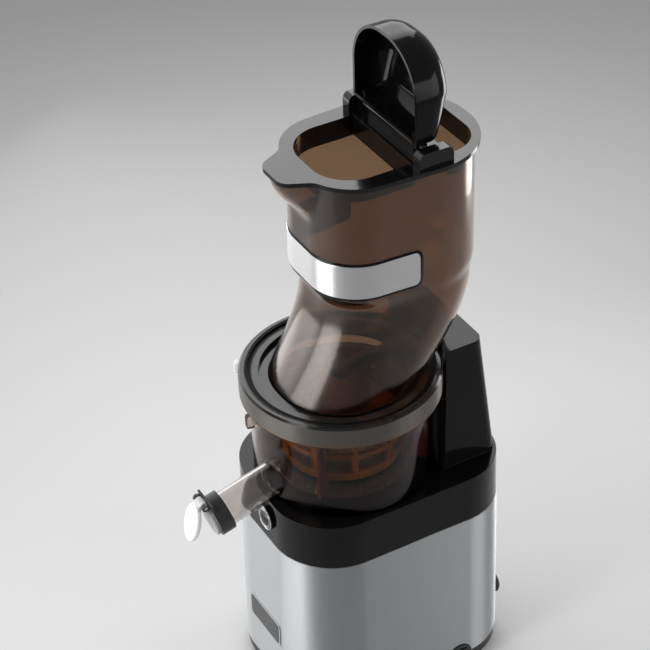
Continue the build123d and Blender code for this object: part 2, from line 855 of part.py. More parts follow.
def motor_fan():
    low = motor_foot + case_end + 1
    hub = motor_shaft_radius + fan_hub
    fan = disc(hub, low, low + fan_height)
    vane = Box(fan_radius - hub + 1, fan_thickness, fan_height + 2,
               align=(Align.MIN, Align.CENTER, Align.CENTER))
    blade = Pos(hub - 1, 0, low + fan_height / 2) * Rot(blade_lean, 0, 0) * vane
    for copy in around(blade, fan_blades):
        fan += copy
    fan &= disc(fan_radius, low, low + fan_height)
    fan -= disc(motor_shaft_radius + seat_gap, low - 1, low + fan_height + 1)
    return Pos(0, motor_y, 0) * fan


# ---- bowl

def spout_frame():
    """Plane on the juice spout's axis where it leaves the bowl, looking outwards."""
    slope = radians(spout_slope)
    return Plane(origin=(spout_x, -(bowl_radius - 1), spout_z), x_dir=(1, 0, 0),
                 z_dir=(0, -cos(slope), -sin(slope)))


def spout_bar(radius, low, high):
    """Round bar on the juice spout's axis."""
    bar = Cylinder(radius, high - low, align=(Align.CENTER, Align.CENTER, Align.MIN))
    return spout_frame() * (Pos(0, 0, low) * bar)


def pulp_bar(grow, start, end):
    """Rounded rectangular bar on the pulp spout's axis, from x = -start to x = -end."""
    slope = radians(pulp_slope)
    frame = Plane(origin=(-bowl_radius, 0, pulp_z), x_dir=(0, 1, 0),
                  z_dir=(-cos(slope), 0, -sin(slope)))
    outline = RectangleRounded(pulp_width + 2 * grow, pulp_height + 2 * grow, pulp_corner + grow)
    low = (start - bowl_radius) / cos(slope)
    high = (end - bowl_radius) / cos(slope)
    return frame * (Pos(0, 0, low) * extrude(outline, high - low))


def idler_spot():
    return (0.0, idler_r)


def beyond_wall(bar):
    """What a bar across the bowl leaves in the wall and outside it."""
    return bar - disc(bowl_radius - bowl_wall, bowl_floor_z - bowl_floor - 1, bowl_rim_z)


def spout_start():
    """Where the pulp spout's bar starts inside the bowl's wall."""
    return bowl_radius - bowl_wall - spout_root


def bowl_cup():
    """Turned body of the bowl: foot, wall, flange, floor and the hub's tube."""
    inner = bowl_radius - bowl_wall
    floor_low = bowl_floor_z - bowl_floor
    foot_inner = bowl_foot_radius - bowl_foot_wall
    return turned((hub_bore, floor_low), (foot_inner, floor_low), (foot_inner, well_floor_z),
                  (bowl_foot_radius, well_floor_z), (bowl_foot_radius, cover_top + 1),
                  (bowl_radius, cover_top + 1 + bowl_foot_step), (bowl_radius, bowl_flange_z),
                  (bowl_flange_radius, bowl_flange_z), (bowl_flange_radius, bowl_flange_z + bowl_flange),
                  (bowl_radius, bowl_flange_z + bowl_flange), (bowl_radius, bowl_rim_z),
                  (inner, bowl_rim_z), (inner, bowl_floor_z), (hub_radius, bowl_floor_z),
                  (hub_radius, hub_top), (hub_bore, hub_top))


def juicing_bowl():
    """Cup with the strainer's step, the idler's pin and the seats of both spouts."""
    step = tube(strainer_foot_radius - 1.5, auger_pitch + 2 * juice_module, bowl_floor_z - 1, step_top)
    x, y = idler_spot()
    step -= disc(idler_pitch + juice_module + slip_gap, bowl_floor_z, step_top + 1, x, y)
    bowl = bowl_cup() + step
    bowl += disc(idler_pin_radius, bowl_floor_z - 1, juice_gear_z + juice_gear_width + 1, x, y)
    bowl -= beyond_wall(spout_bar(spout_radius + seat_gap, -spout_root, spout_root))
    return bowl - beyond_wall(pulp_bar(seat_gap, spout_start(), bowl_radius + spout_root))


def juice_spout():
    """Round spout, welded into the bowl's wall."""
    spout = beyond_wall(spout_bar(spout_radius, -spout_root, spout_length))
    return spout - spout_bar(spout_radius - spout_wall, -spout_root - 1, spout_length + 1)


def pulp_spout():
    """Rectangular spout for the pulp, welded into the bowl's wall."""
    spout = beyond_wall(pulp_bar(0, spout_start(), pulp_reach))
    return spout - pulp_bar(-pulp_wall, spout_start() - 1, pulp_reach + 1)


def hub_seal():
    return tube(hub_radius - seat_gap, hub_bore + slip_gap, hub_top, hub_top + hub_seal_height)


def pulp_plug():
    """Flexible plug under the floor, below the pulp passage."""
    floor_low = bowl_floor_z - bowl_floor
    far = bowl_foot_radius - bowl_foot_wall - plug_inset
    half = plug_width / 2
    plug = block(-far, plug_length - far, -half, half, floor_low - plug_depth, floor_low)
    return fillet(plug.edges().filter_by(Axis.Z), plug_corner)


def cap_collar():
    """Ring round the spout's end, with two ears that hold the lever's pin."""
    low = spout_length - cap_length
    ring = spout_bar(cap_radius, low, spout_length)
    plate = Pos(0, cap_pin_rise - hinge_plate_height / 3, spout_length - cap_lip / 2) * Box(
        hinge_plate_width, hinge_plate_height, cap_lip)
    ring += spout_frame() * plate
    for side in (-1, 1):
        ear = cap_hinge() * Pos(side * ear_spread, 0, 0) * Rot(0, 90, 0) * Cylinder(ear_radius, cap_ear)
        root = Pos(side * ear_spread, cap_pin_rise - 1, spout_length + 1) * Box(
            cap_ear, 2 * ear_radius - 2, 2 + gate_thickness)
        ring += spout_frame() * (ear + root)
    ring -= spout_bar(spout_radius + seat_gap, low - 1, spout_length + 1)
    return ring - spout_frame() * cap_pin_bar(cap_pin_radius + run_gap, 2 * hinge_plate_width)


def cap_pin_bar(radius, length):
    """Bar on the lever's hinge axis, in the spout's frame."""
    bar = Rot(0, 90, 0) * Cylinder(radius, length)
    return cap_hinge() * bar


def cap_pin():
    return spout_frame() * cap_pin_bar(cap_pin_radius, 2 * ear_spread + cap_ear)


def cap_seal():
    low = spout_length
    ring = Cylinder(spout_radius, seal_thickness, align=(Align.CENTER, Align.CENTER, Align.MIN))
    ring -= Cylinder(spout_radius - spout_wall, 3 * seal_thickness)
    return spout_frame() * (Pos(0, 0, low) * ring)


def cap_hinge():
    """Spot of the lever's hinge in the spout's frame."""
    return Pos(0, cap_pin_rise, spout_length + gate_thickness + 1)


def cap_gate():
    """Disc that closes the spout, hung from a knuckle on the pin."""
    low = spout_length + seal_thickness + slip_gap
    gate = Cylinder(cap_radius - 2.5, gate_thickness, align=(Align.CENTER, Align.CENTER, Align.MIN))
    knuckle = cap_hinge() * Rot(0, 90, 0) * Cylinder(knuckle_radius, knuckle_length)
    neck = Pos(0, cap_pin_rise - 5, low + gate_thickness / 2) * Box(knuckle_length, 9, gate_thickness)
    hung = Pos(0, 0, low) * gate + knuckle + neck
    return spout_frame() * (hung - cap_pin_bar(cap_pin_radius + run_gap, 2 * hinge_plate_width))


def cap_lever():
    """Thumb pad that stands out from the knuckle."""
    pad = extrude(Ellipse(lever_width / 2, lever_length / 2), lever_thickness / 2, both=True)
    pad = fillet(pad.edges(), lever_thickness / 2 - 0.3)
    pad = Rot(-lever_angle, 0, 0) * Pos(0, 2 - lever_length / 2, 0) * pad
    pad = Pos(0, 0, knuckle_radius + lever_rise) * pad
    root = Pos(0, 0, knuckle_radius) * Box(knuckle_length, lever_root, lever_root)
    saddle = Rot(0, 90, 0) * Cylinder(knuckle_radius + seat_gap, 2 * knuckle_length)
    return spout_frame() * cap_hinge() * (pad + root - saddle)


# ---- juicing set

def strainer_radius(z):
    """Outer radius of the strainer at height z."""
    share = (z - step_top) / strainer_height
    return strainer_foot_radius + (strainer_top_radius - strainer_foot_radius) * share


def strainer_frame():
    """Tapered basket with two rows of windows, standing on the bowl's step."""
    wall = strainer_wall
    hole = auger_pitch + 2 * juice_module
    floor_top = step_top + strainer_floor
    rim_low = strainer_top - strainer_rim_height
    rim = strainer_top_radius + strainer_rim
    frame = turned((hole, step_top), (strainer_foot_radius, step_top), (strainer_radius(rim_low), rim_low),
                   (rim, rim_low), (rim, strainer_top), (strainer_top_radius - wall, strainer_top),
                   (strainer_radius(floor_top) - wall, floor_top), (hole, floor_top))
    row = (rim_low - floor_top - window_bar) / row_count
    for number in range(row_count):
        low = floor_top + window_bar + number * row
        high = low + row - window_bar
        width = 2 * pi * strainer_radius(low) / window_count - window_bar
        window = block(auger_pitch, bowl_radius, -width / 2, width / 2, low, high)
        for copy in around(window, window_count):
            frame -= copy
    return frame


def strainer_screen():
    """Thin perforated steel lining inside the windows."""
    low = step_top + strainer_floor
    inner_low = strainer_radius(low) - strainer_wall - seat_gap
    high = strainer_top - strainer_rim_height
    inner_high = strainer_radius(high) - strainer_wall - seat_gap
    return turned((inner_low - screen_wall, low), (inner_low, low),
                  (inner_high, high), (inner_high - screen_wall, high))


def brush_frame():
    """Ring gear at the foot, posts that follow the strainer, and a top ring."""
    low = bowl_floor_z + slip_gap
    gear_top = juice_gear_z + juice_gear_width
    outer = ring_pitch + 3 * juice_module
    hollow = gear_outline(ring_tooth_count, juice_module, inner=True)
    ring = disc(outer, low, gear_top + 1)
    ring -= Pos(0, 0, low - 1) * Rot(0, 0, 90) * extrude(hollow, gear_top + 3 - low)
    post_low = strainer_radius(gear_top) + brush_gap
    post_high = strainer_radius(strainer_top) + brush_gap
    cone = turned((post_low, gear_top), (post_low + brush_bar, gear_top),
                  (post_high + brush_bar, strainer_top), (post_high, strainer_top))
    bars = block(0, bowl_radius, -brush_bar / 2, brush_bar / 2, gear_top, strainer_top)
    for copy in around(bars, post_count, 45):
        ring += cone & copy
    return ring + tube(post_high + brush_bar, post_high, strainer_top - brush_ring_height, strainer_top)


def wiper_blades():
    """Soft blades on the posts: one edge to the strainer, one to the bowl's wall."""
    low = juice_gear_z + juice_gear_width + 2
    high = strainer_top - brush_ring_height
    near_low = strainer_radius(low) + wipe_gap
    near_high = strainer_radius(high) + wipe_gap
    post_low = strainer_radius(low) + brush_gap
    post_high = strainer_radius(high) + brush_gap
    far = bowl_radius - bowl_wall - wipe_gap
    half = blade_thickness / 2
    inner = turned((near_low, low), (post_low, low), (post_high, high), (near_high, high))
    outer = turned((post_low + brush_bar, low), (far, low), (far, high), (post_high + brush_bar, high))
    slab = block(0, bowl_radius, -half, half, low, high)
    return [shape & copy for copy in around(slab, post_count, 45) for shape in (inner, outer)]


def idler_gear():
    x, y = idler_spot()
    turn = mesh_turn(idler_tooth_count)
    wheel = gear(idler_tooth_count, juice_module, juice_gear_z, juice_gear_width, x, y, turn)
    return wheel - disc(idler_pin_radius + run_gap, juice_gear_z - 1, juice_gear_z + 20, x, y)


def auger_radius(z):
    """How far the flights reach at height z."""
    return strainer_radius(z) - strainer_wall - screen_wall - auger_play


def auger():
    """Screw: tapered flights on a core, with a gear skirt below."""
    foot = step_top + strainer_floor + auger_play
    rise = auger_shoulder - foot
    outline = Circle(auger_core)
    fin = Pos(strainer_top_radius / 2, 0) * Rectangle(strainer_top_radius, flight_width)
    for copy in around(fin, flight_count):
        outline += copy
    screw = Solid.extrude_linear_with_rotation(outline.face(), (0, 0, 0), (0, 0, rise), flight_turn)
    bevel_z = auger_shoulder - shoulder_bevel
    hull = turned((0, foot), (auger_radius(foot), foot), (auger_radius(bevel_z), bevel_z),
                  (auger_core, auger_shoulder), (0, auger_shoulder))
    screw = Pos(0, 0, foot) * screw & hull
    skirt = gear(auger_tooth_count, juice_module, juice_gear_z, juice_gear_width, turn=90)
    neck = disc(auger_neck, juice_gear_z + juice_gear_width - 1, foot + 1)
    body = screw + skirt + neck
    body -= disc(hub_radius + slip_gap, bowl_floor_z, auger_foot)
    body -= disc(auger_pin_radius + seat_gap, auger_shoulder - spigot, auger_shoulder + 1)
    return body - disc(socket_radius + seat_gap, bowl_floor_z, auger_foot + socket_height)


def auger_crown():
    """Cone and top pin, pressed into the screw by a spigot."""
    return turned((0, auger_shoulder - spigot), (auger_pin_radius, auger_shoulder - spigot),
                  (auger_pin_radius, auger_shoulder), (auger_core, auger_shoulder), (crown_tip, crown_top),
                  (auger_pin_radius, crown_top), (auger_pin_radius, crown_top + auger_pin),
                  (0, crown_top + auger_pin))


def auger_socket():
    """Metal insert that takes the shaft's hexagonal end."""
    low = juice_gear_z + slip_gap
    insert = disc(socket_radius, auger_foot - socket_collar, auger_foot + socket_height)
    hexagon = RegularPolygon(hex_radius + hex_gap, 6)
    hollow = Pos(0, 0, low - 1) * extrude(hexagon, hex_top + 1 + slip_gap - low)
    return insert - hollow


# ---- lid

def lid_ring():
    """Stepped ring: skirt over the bowl's rim, two lands, and the seat for the chute."""
    inner_skirt = ring_radius - ring_wall
    under = gasket_z + gasket_height
    shelf_z = ring_top - ring_step
    ring = turned((throat_radius, seat_z - seat_wall), (ring_shelf + 2, seat_z - seat_wall),
                  (ring_shelf + 3, under), (inner_skirt, under), (inner_skirt, ring_bottom),
                  (ring_radius, ring_bottom), (ring_radius, ring_top - 1.5), (ring_radius - 1.5, ring_top),
                  (ring_radius - ring_land, ring_top), (ring_radius - ring_land, shelf_z),
                  (ring_shelf, shelf_z), (ring_shelf, seat_z), (throat_radius, seat_z))
    spine = block(-bridge_width / 2, bridge_width / 2, 0, throat_radius + 1, seat_z, seat_z + bridge_height)
    ring += spine + disc(crown_tip, seat_z, seat_z + bridge_height)
    ring -= disc(auger_pin_radius + run_gap, seat_z - 1, crown_top + auger_pin + slip_gap)
    tab = block(ring_radius - 2, ring_radius + tab_reach, -tab_width / 2, tab_width / 2,
                ring_top - 12, ring_top - 4)
    ring += Rot(0, 0, tab_angle) * tab
    return ring - magnet_disc(slip_gap / 2)


def magnet_disc(grow=0.0):
    """Disc inside the ring's rear land, facing the sensor in the tower."""
    z = (ring_top - ring_step + gasket_z + gasket_height) / 2
    y = ring_radius - ring_wall - 6
    return side_bar(2.0 + grow, y - grow, y + 4 + grow, 0, z)


def lid_gasket():
    inner = bowl_radius - bowl_wall
    return tube(bowl_radius + 1.5, inner - 0.5, gasket_z, gasket_z + gasket_height)


def chute_section(z, front, rear, half_front, half_rear, corner_front, corner_rear, inset):
    """Rounded section of the chute, wider at the rear, drawn in by inset."""
    y_low = front + inset
    y_high = rear - inset
    wide_front = half_front - inset
    wide_rear = half_rear - inset
    outline = Polygon((-wide_front, y_low), (wide_front, y_low), (wide_rear, y_high), (-wide_rear, y_high),
                      align=None)
    outline = fillet(outline.vertices().group_by(Axis.Y)[0], corner_front - inset)
    outline = fillet(outline.vertices().group_by(Axis.Y)[-1], corner_rear - inset)
    return Pos(0, 0, z) * outline


def elbow_section(share, inset):
    """Section of the slanting elbow: share 0 is the round foot, 1 the waist."""
    bend = sin(radians(90 * share))
    foot_front = -(foot_half - 3.5)
    foot_corner = foot_half - 4
    front = foot_front + (waist_front - foot_front) * bend
    rear = foot_half + (hopper_rear - 3 - foot_half) * bend
    half_front = foot_half + (waist_half - foot_half) * share
    half_rear = foot_half + (hopper_half_rear - foot_half) * share
    corner_front = foot_corner + (hopper_corner_front - foot_corner) * share
    corner_rear = foot_corner + (hopper_corner_rear - 1 - foot_corner) * share
    z = seat_z + (waist_z - seat_z) * share
    return chute_section(z, front, rear, half_front, half_rear, corner_front, corner_rear, inset)


def hopper_section(z, inset=0.0):
    """Section of the upright hopper at height z."""
    return chute_section(z, hopper_front, hopper_rear, hopper_half_front, hopper_half_rear,
                         hopper_corner_front, hopper_corner_rear, inset)


def chute_solid(inset):
    """Elbow, short flare and upright hopper, drawn in by inset."""
    last = station_count - 1
    elbow = loft([elbow_section(number / last, inset) for number in range(station_count)])
    flare = loft([elbow_section(1, inset), hopper_section(hopper_z, inset)], ruled=True)
    return elbow + flare + extrude(hopper_section(hopper_z, inset), hopper_top - hopper_z)


def lip_section(share, inset):
    """Half-round section of the pouring lip: share 0 is its foot, 1 the rim."""
    depth = (rim_tab - lip_inset + lip_sink) * share ** lip_power - lip_sink
    z = hopper_top - lip_drop * (1 - share)
    return Pos(0, hopper_front + lip_root, z) * Ellipse(lip_half - inset, lip_root + depth - inset)


def lip_solid(inset):
    """Rounded pouring lip under the rim's front tab."""
    return loft([lip_section(share, inset) for share in (0, 0.5, 1)])


def chute():
    body = chute_solid(0) + lip_solid(0)
    body -= chute_solid(chute_wall)
    trim = extrude(hopper_section(hopper_top - lip_drop - 1, chute_wall), lip_drop + 1)
    body -= trim
    return body - lip_solid(chute_wall)


def chute_band():
    """Bright band round the hopper's front, ending at the sides."""
    band = extrude(hopper_section(band_bottom, -band_thickness), band_top - band_bottom)
    band -= extrude(hopper_section(band_bottom - 1), band_top - band_bottom + 2)
    keep = block(-hopper_rear, hopper_rear, hopper_front - 20, band_rear, band_bottom, band_top)
    return band & keep


def plate_outline():
    """Rim plate: the hopper's outline let out, with a tab at the front."""
    outline = hopper_section(0, -rim_overhang)
    root = hopper_front + tab_root
    tab = Polygon((-tab_root_half, root), (-tab_tip_half, tab_tip_y), (tab_tip_half, tab_tip_y),
                  (tab_root_half, root), align=None)
    tab = fillet(tab.vertices().group_by(Axis.Y)[0], tab_tip_corner)
    outline = outline + tab
    inner = [spot for spot in outline.vertices() if abs(spot.Y - hopper_front) < rim_overhang + 1]
    return fillet([spot for spot in inner if abs(spot.X) < tab_root_half], tab_blend)


def mouth_outline(grow=0.0):
    """Large front feed opening."""
    mouth = Pos(0, (mouth_front + mouth_rear) / 2) * Rectangle(2 * mouth_half + 2 * grow,
                                                              mouth_rear - mouth_front + 2 * grow)
    return fillet(mouth.vertices().group_by(Axis.Y)[0], mouth_corner + grow)


def vent_outline(grow=0.0):
    """Small rear feed opening."""
    mouth = Pos(0, (vent_mouth_front + vent_mouth_rear) / 2) * Rectangle(
        2 * vent_mouth_half + 2 * grow, vent_mouth_rear - vent_mouth_front + 2 * grow)
    return fillet(mouth.vertices().group_by(Axis.Y)[-1], vent_mouth_corner + grow)


def chute_rim():
    """Black top plate with both openings, a skirt round each, and the flap's bearings."""
    low = plate_z - rim_skirt
    rim = Pos(0, 0, plate_z) * extrude(plate_outline(), rim_thickness)
    for outline in (mouth_outline, vent_outline):
        skirt = outline(rim_skirt_wall)
        rim += Pos(0, 0, low) * extrude(skirt, rim_skirt + 1) & plug_room()
    for outline in (mouth_outline, vent_outline):
        rim -= Pos(0, 0, low - 1) * extrude(outline(), rim_skirt + rim_thickness + 2)
    barrel_length = 2 * (flap_ear_x - slip_gap)
    web = Box(barrel_length, barrel_web, flap_axis_rise)
    web = Pos(0, flap_axis_y, plate_top + flap_axis_rise / 2) * web
    rim += web + flap_bar(flap_barrel, barrel_length)
    for side in (-1, 1):
        x = side * (cheek_half - cheek_width / 2)
        cheek = Pos(x, cheek_front + cheek_length / 2, plate_top - 0.5) * Box(
            cheek_width, cheek_length, flap_axis_rise + flap_barrel,
            align=(Align.CENTER, Align.CENTER, Align.MIN))
        rim += fillet(cheek.edges().filter_by(Axis.X).group_by(Axis.Z)[-1], cheek_round)
    return rim - flap_bar(flap_pin_radius + seat_gap, pin_length())


def plug_room():
    """Space inside the hopper's top that the rim's skirts must stay in."""
    return extrude(hopper_section(plate_z - rim_skirt - 1, chute_wall + slip_gap), rim_skirt + 3)


def pin_length():
    """The hinge pin stops inside both cheeks."""
    return 2 * (cheek_half - pin_inset)


def flap_bar(radius, length):
    """Bar on the flap's hinge axis."""
    return Pos(0, flap_axis_y, flap_axis_z) * Rot(0, 90, 0) * Cylinder(radius, length)


def flap_outline(inset):
    """The flap seen from the front: straight foot, rounded top."""
    low = plate_top + flap_foot + inset
    high = plate_top + flap_foot + flap_height - inset
    outline = Pos(0, (low + high) / 2) * Rectangle(2 * (flap_half - inset), high - low)
    return fillet(outline.vertices().group_by(Axis.Y)[-1], flap_corner - inset)


def flap_dome(inset, y_low, y_high):
    """The flap's outline carried along Y, with its back edge rounded."""
    dome = Pos(0, y_high, 0) * extrude(Plane.XZ * flap_outline(inset), y_high - y_low)
    return fillet(dome.edges().group_by(Axis.Y)[-1], flap_round - inset)


def flap():
    """Domed cover for the feed opening, standing open on its hinge."""
    back = flap_front + flap_depth
    shell = flap_dome(0, flap_front, back)
    shell -= flap_dome(flap_wall, flap_front - 1, back - flap_wall)
    for side in (-1, 1):
        x = side * (flap_ear_x + flap_ear / 2)
        ear = Pos(x, flap_axis_y, flap_axis_z) * Rot(0, 90, 0) * Cylinder(flap_barrel, flap_ear)
        ear += Pos(x, flap_axis_y, flap_axis_z + flap_foot / 2 - 1) * Box(
            flap_ear, 2 * flap_barrel, flap_foot - flap_axis_rise + 4)
        shell += ear
    return shell - flap_bar(flap_pin_radius + run_gap, 2 * cheek_half)


def flap_pin():
    return flap_bar(flap_pin_radius, pin_length())


# ---- export

builders = [
    base_tray, rubber_feet, tray_screws, body_shell, badge_plate, top_cover, indicator_lens,
    indicator_bezel, switch_housing, rocker_switch, cord_gland, control_board, run_capacitor,
    lid_sensor, gearbox_base, gearbox_cover, lower_bearing, upper_bearing, shaft_seal,
    layshaft_bushes, drive_shaft, output_gear, layshaft_gears, motor_pinion, motor_case,
    motor_stator, motor_windings, motor_bearings, motor_rotor, motor_fan, juicing_bowl, juice_spout,
    pulp_spout, hub_seal, pulp_plug, cap_collar, cap_pin, cap_seal, cap_gate, cap_lever,
    strainer_frame, strainer_screen,
    brush_frame, wiper_blades, idler_gear, auger, auger_crown, auger_socket, lid_ring, lid_gasket, chute,
    chute_band, chute_rim, flap, flap_pin,
]


def solids_of(made):
    """Every solid of a piece, whether it came as one shape or a list."""
    shapes = made if isinstance(made, list) else [made]
    return [solid for shape in shapes for solid in shape.solids()]


os.makedirs("parts", exist_ok=True)
pieces = {build.__name__: solids_of(build()) for build in builders}
pieces["lid_magnet"] = solids_of(magnet_disc())
boxes = [solid.bounding_box() for solids in pieces.values() for solid in solids]
middle_x = (min(box.min.X for box in boxes) + max(box.max.X for box in boxes)) / 2
middle_y = (min(box.min.Y for box in boxes) + max(box.max.Y for box in boxes)) / 2
frame_shift = Pos(-middle_x, -middle_y, 0)
for name, solids in pieces.items():
    moved = [frame_shift * solid for solid in solids]
    shape = moved[0] if len(moved) == 1 else Compound(children=moved)
    export_step(shape, f"parts/{name}.step")
print(f"drive axis at {-middle_x:.3f}, {-middle_y:.3f}")
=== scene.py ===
import json
import math
import bmesh
import bpy
import numpy as np
from mathutils import Matrix, Vector

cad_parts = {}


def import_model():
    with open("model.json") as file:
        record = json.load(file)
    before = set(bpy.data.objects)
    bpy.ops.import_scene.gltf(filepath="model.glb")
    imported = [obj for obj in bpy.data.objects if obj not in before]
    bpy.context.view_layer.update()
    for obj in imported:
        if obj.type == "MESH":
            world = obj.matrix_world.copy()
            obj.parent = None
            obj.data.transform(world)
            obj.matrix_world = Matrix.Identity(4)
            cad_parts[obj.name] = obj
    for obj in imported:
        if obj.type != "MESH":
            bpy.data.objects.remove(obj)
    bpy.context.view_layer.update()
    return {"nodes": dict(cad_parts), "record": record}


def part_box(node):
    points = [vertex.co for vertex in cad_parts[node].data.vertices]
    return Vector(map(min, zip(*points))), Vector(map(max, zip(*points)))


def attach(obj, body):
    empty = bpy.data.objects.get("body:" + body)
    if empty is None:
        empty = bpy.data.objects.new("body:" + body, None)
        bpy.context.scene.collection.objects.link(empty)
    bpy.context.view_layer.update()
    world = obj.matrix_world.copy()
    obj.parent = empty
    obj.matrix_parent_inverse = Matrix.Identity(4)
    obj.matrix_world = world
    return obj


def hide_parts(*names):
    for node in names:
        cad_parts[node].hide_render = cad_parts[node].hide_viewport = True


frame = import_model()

# Lengths in the settings are millimetres, and places stand about the drive's upright axis.
mm = 0.001
nodes = frame["nodes"]
slotOf = {part["node"]: part["material_slot"] for part in frame["record"]["subparts"]}
bearingLow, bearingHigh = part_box("lower_bearing")
driveAxis = np.array([(bearingLow.x + bearingHigh.x) / 2 / mm,
                      (bearingLow.y + bearingHigh.y) / 2 / mm, 0.0])


def nodeBox(node):  # a CAD node's two corners
    low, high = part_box(node)
    return np.array(low) / mm - driveAxis, np.array(high) / mm - driveAxis


def meshSpots(mesh):  # every vertex of a mesh
    spots = np.empty(len(mesh.vertices) * 3)
    mesh.vertices.foreach_get("co", spots)
    return spots.reshape(-1, 3) / mm - driveAxis


def tone(red, green, blue):
    return (red, green, blue, 1.0)


def shaded(colour, share, lift=0.0):
    return tuple(min(1.0, part * share + lift) for part in colour[:3]) + (1.0,)


class Wire:  # a node's output that takes Python arithmetic
    def __init__(self, owner, socket):
        self.owner = owner
        self.socket = socket

    def maths(self, operation, first, second=0.0):
        return self.owner.node("Math", {"operation": operation}, {0: first, 1: second})

    def __add__(self, other):
        return self.maths("ADD", self, other)

    def __radd__(self, other):
        return self.maths("ADD", other, self)

    def __sub__(self, other):
        return self.maths("SUBTRACT", self, other)

    def __rsub__(self, other):
        return self.maths("SUBTRACT", other, self)

    def __mul__(self, other):
        return self.maths("MULTIPLY", self, other)

    def __rmul__(self, other):
        return self.maths("MULTIPLY", other, self)

    def over(self, edge):  # 1 above the edge, 0 below it
        return self.maths("GREATER_THAN", self, edge)

    def part(self):  # what stands behind the decimal point
        return self.maths("FRACT", self)

    def larger(self, other):
        return self.maths("MAXIMUM", self, other)


class Finish:  # a material in the making, its constants on the shader's own sockets
    def __init__(self, name, constants=None):
        self.material = bpy.data.materials.new(name)
        self.material.use_nodes = True
        self.tree = self.material.node_tree
        self.shader = self.tree.nodes["Principled BSDF"]
        for socket, value in (constants or {}).items():
            self.shader.inputs[socket].default_value = value
        self.spot = self.node("TexCoord", output="Object")

    def node(self, kind, settings=None, sockets=None, output=0):
        made = self.tree.nodes.new("ShaderNode" + kind)
        for key, value in (settings or {}).items():
            setattr(made, key, value)
        for key, value in (sockets or {}).items():
            if isinstance(value, Wire):
                self.tree.links.new(value.socket, made.inputs[key])
            else:
                made.inputs[key].default_value = value
        return Wire(self, made.outputs[output])

    def noise(self, scale, detail=3.0, roughness=0.5, where=None):
        sockets = {"Vector": where or self.spot, "Scale": scale,
                   "Detail": detail, "Roughness": roughness}
        return self.node("TexNoise", {}, sockets, "Fac")

    def lines(self, scale, squeeze, detail=3.0, roughness=0.6):  # noise pressed flat in height
        sockets = {"Vector": self.spot, "Scale": (1.0, 1.0, squeeze)}
        return self.noise(scale, detail, roughness, self.node("Mapping", {}, sockets))

    def counted(self, across, up):  # the piece's own map, counted in so many repeats
        place = self.node("UVMap")
        x = self.node("SeparateXYZ", {}, {0: place}, 0)
        y = self.node("SeparateXYZ", {}, {0: place}, 1)
        return x * across, y * up

    def ramp(self, value, low, high):
        sockets = {"Value": value, "From Min": low, "From Max": high}
        return self.node("MapRange", {}, sockets, "Result")

    def blend(self, share, first, second):
        return self.node("Mix", {"data_type": "RGBA"}, {0: share, 6: first, 7: second}, 2)

    def feed(self, socket, value):
        self.tree.links.new(value.socket, self.shader.inputs[socket])
        return self

    def bump(self, height, strength, depth):
        sockets = {"Height": height, "Strength": strength, "Distance": depth * mm}
        return self.feed("Normal", self.node("Bump", {}, sockets, "Normal"))


print("finishes")
# In a finish's settings, lines are a scale, how flat they are pressed, a detail and a roughness.
# Clouds, specks and waves are a scale and a detail, a swing is what a pattern adds to the
# finish's own roughness, and lift is the bump's strength and depth.


def drawnOut(name, metallic, drawn):  # a quarter turn draws the highlights out up and down
    constants = {"Metallic": metallic, "Anisotropic": drawn, "Anisotropic Rotation": 0.25}
    return Finish(name, constants)


sleeveSetting = {"drawn": 0.95, "lines": (60.0, 55.0, 4.0, 0.7), "cloud": 9.0,
                 "dark": tone(0.38, 0.39, 0.40), "pale": tone(0.47, 0.48, 0.49),
                 "rough": 0.44, "swing": 0.08, "cloudSwing": 0.05, "lift": (0.05, 0.08)}


def brushedSleeve():
    s = sleeveSetting
    finish = drawnOut("satinSleeve", 1.0, s["drawn"])
    lines = finish.lines(*s["lines"])
    cloud = finish.noise(s["cloud"])
    finish.feed("Base Color", finish.blend(lines, s["dark"], s["pale"]))
    finish.feed("Roughness", s["rough"] + lines * s["swing"] + cloud * s["cloudSwing"])
    return finish.bump(lines, *s["lift"]).material


bandFinish = {"drawn": 0.95, "lines": (80.0, 30.0), "rough": 0.26, "swing": 0.08,
              "pale": tone(0.70, 0.70, 0.71), "dark": tone(0.60, 0.60, 0.61),
              "lift": (0.02, 0.03)}


def brushedBand():
    s = bandFinish
    finish = drawnOut("brightMetal", 1.0, s["drawn"])
    lines = finish.lines(*s["lines"])
    finish.feed("Base Color", finish.blend(lines, s["pale"], s["dark"]))
    finish.feed("Roughness", s["rough"] + lines * s["swing"])
    return finish.bump(lines, *s["lift"]).material


# The ring band's edge colour is a painted orange glow along its lower edge.
ringFinish = {"metallic": 0.85, "drawn": 0.9, "lines": (60.0, 40.0, 4.0, 0.7),
              "dark": tone(0.085, 0.08, 0.075), "pale": tone(0.14, 0.133, 0.125),
              "edge": tone(0.17, 0.09, 0.045), "glowShare": 0.7, "glowRise": (0.5, 5.0),
              "rough": 0.33, "swing": 0.1, "lift": (0.04, 0.05)}


def satinBand():  # warm grey satin with a painted orange glow along its lower edge
    s = ringFinish
    finish = drawnOut("satinBand", s["metallic"], s["drawn"])
    height = finish.node("SeparateXYZ", {}, {0: finish.spot}, 2)
    bottom = nodeBox("lid_ring")[0][2]
    start, end = s["glowRise"]
    # A painted orange glow, full at the band's lower edge and faded out a few millimetres above it.
    paintedGlow = 1.0 - finish.ramp(height, (bottom + start) * mm, (bottom + end) * mm)
    lines = finish.lines(*s["lines"])
    grey = finish.blend(lines, s["dark"], s["pale"])
    finish.feed("Base Color", finish.blend(paintedGlow * s["glowShare"], grey, s["edge"]))
    finish.feed("Roughness", s["rough"] + lines * s["swing"])
    return finish.bump(lines, *s["lift"]).material


polishedSetting = {"lines": (80.0, 30.0), "darker": 0.9, "swing": 0.06, "lift": (0.02, 0.03)}
turnedSetting = {"lines": (200.0, 12.0), "darker": 0.8, "swing": 0.15, "lift": (0.1, 0.05)}


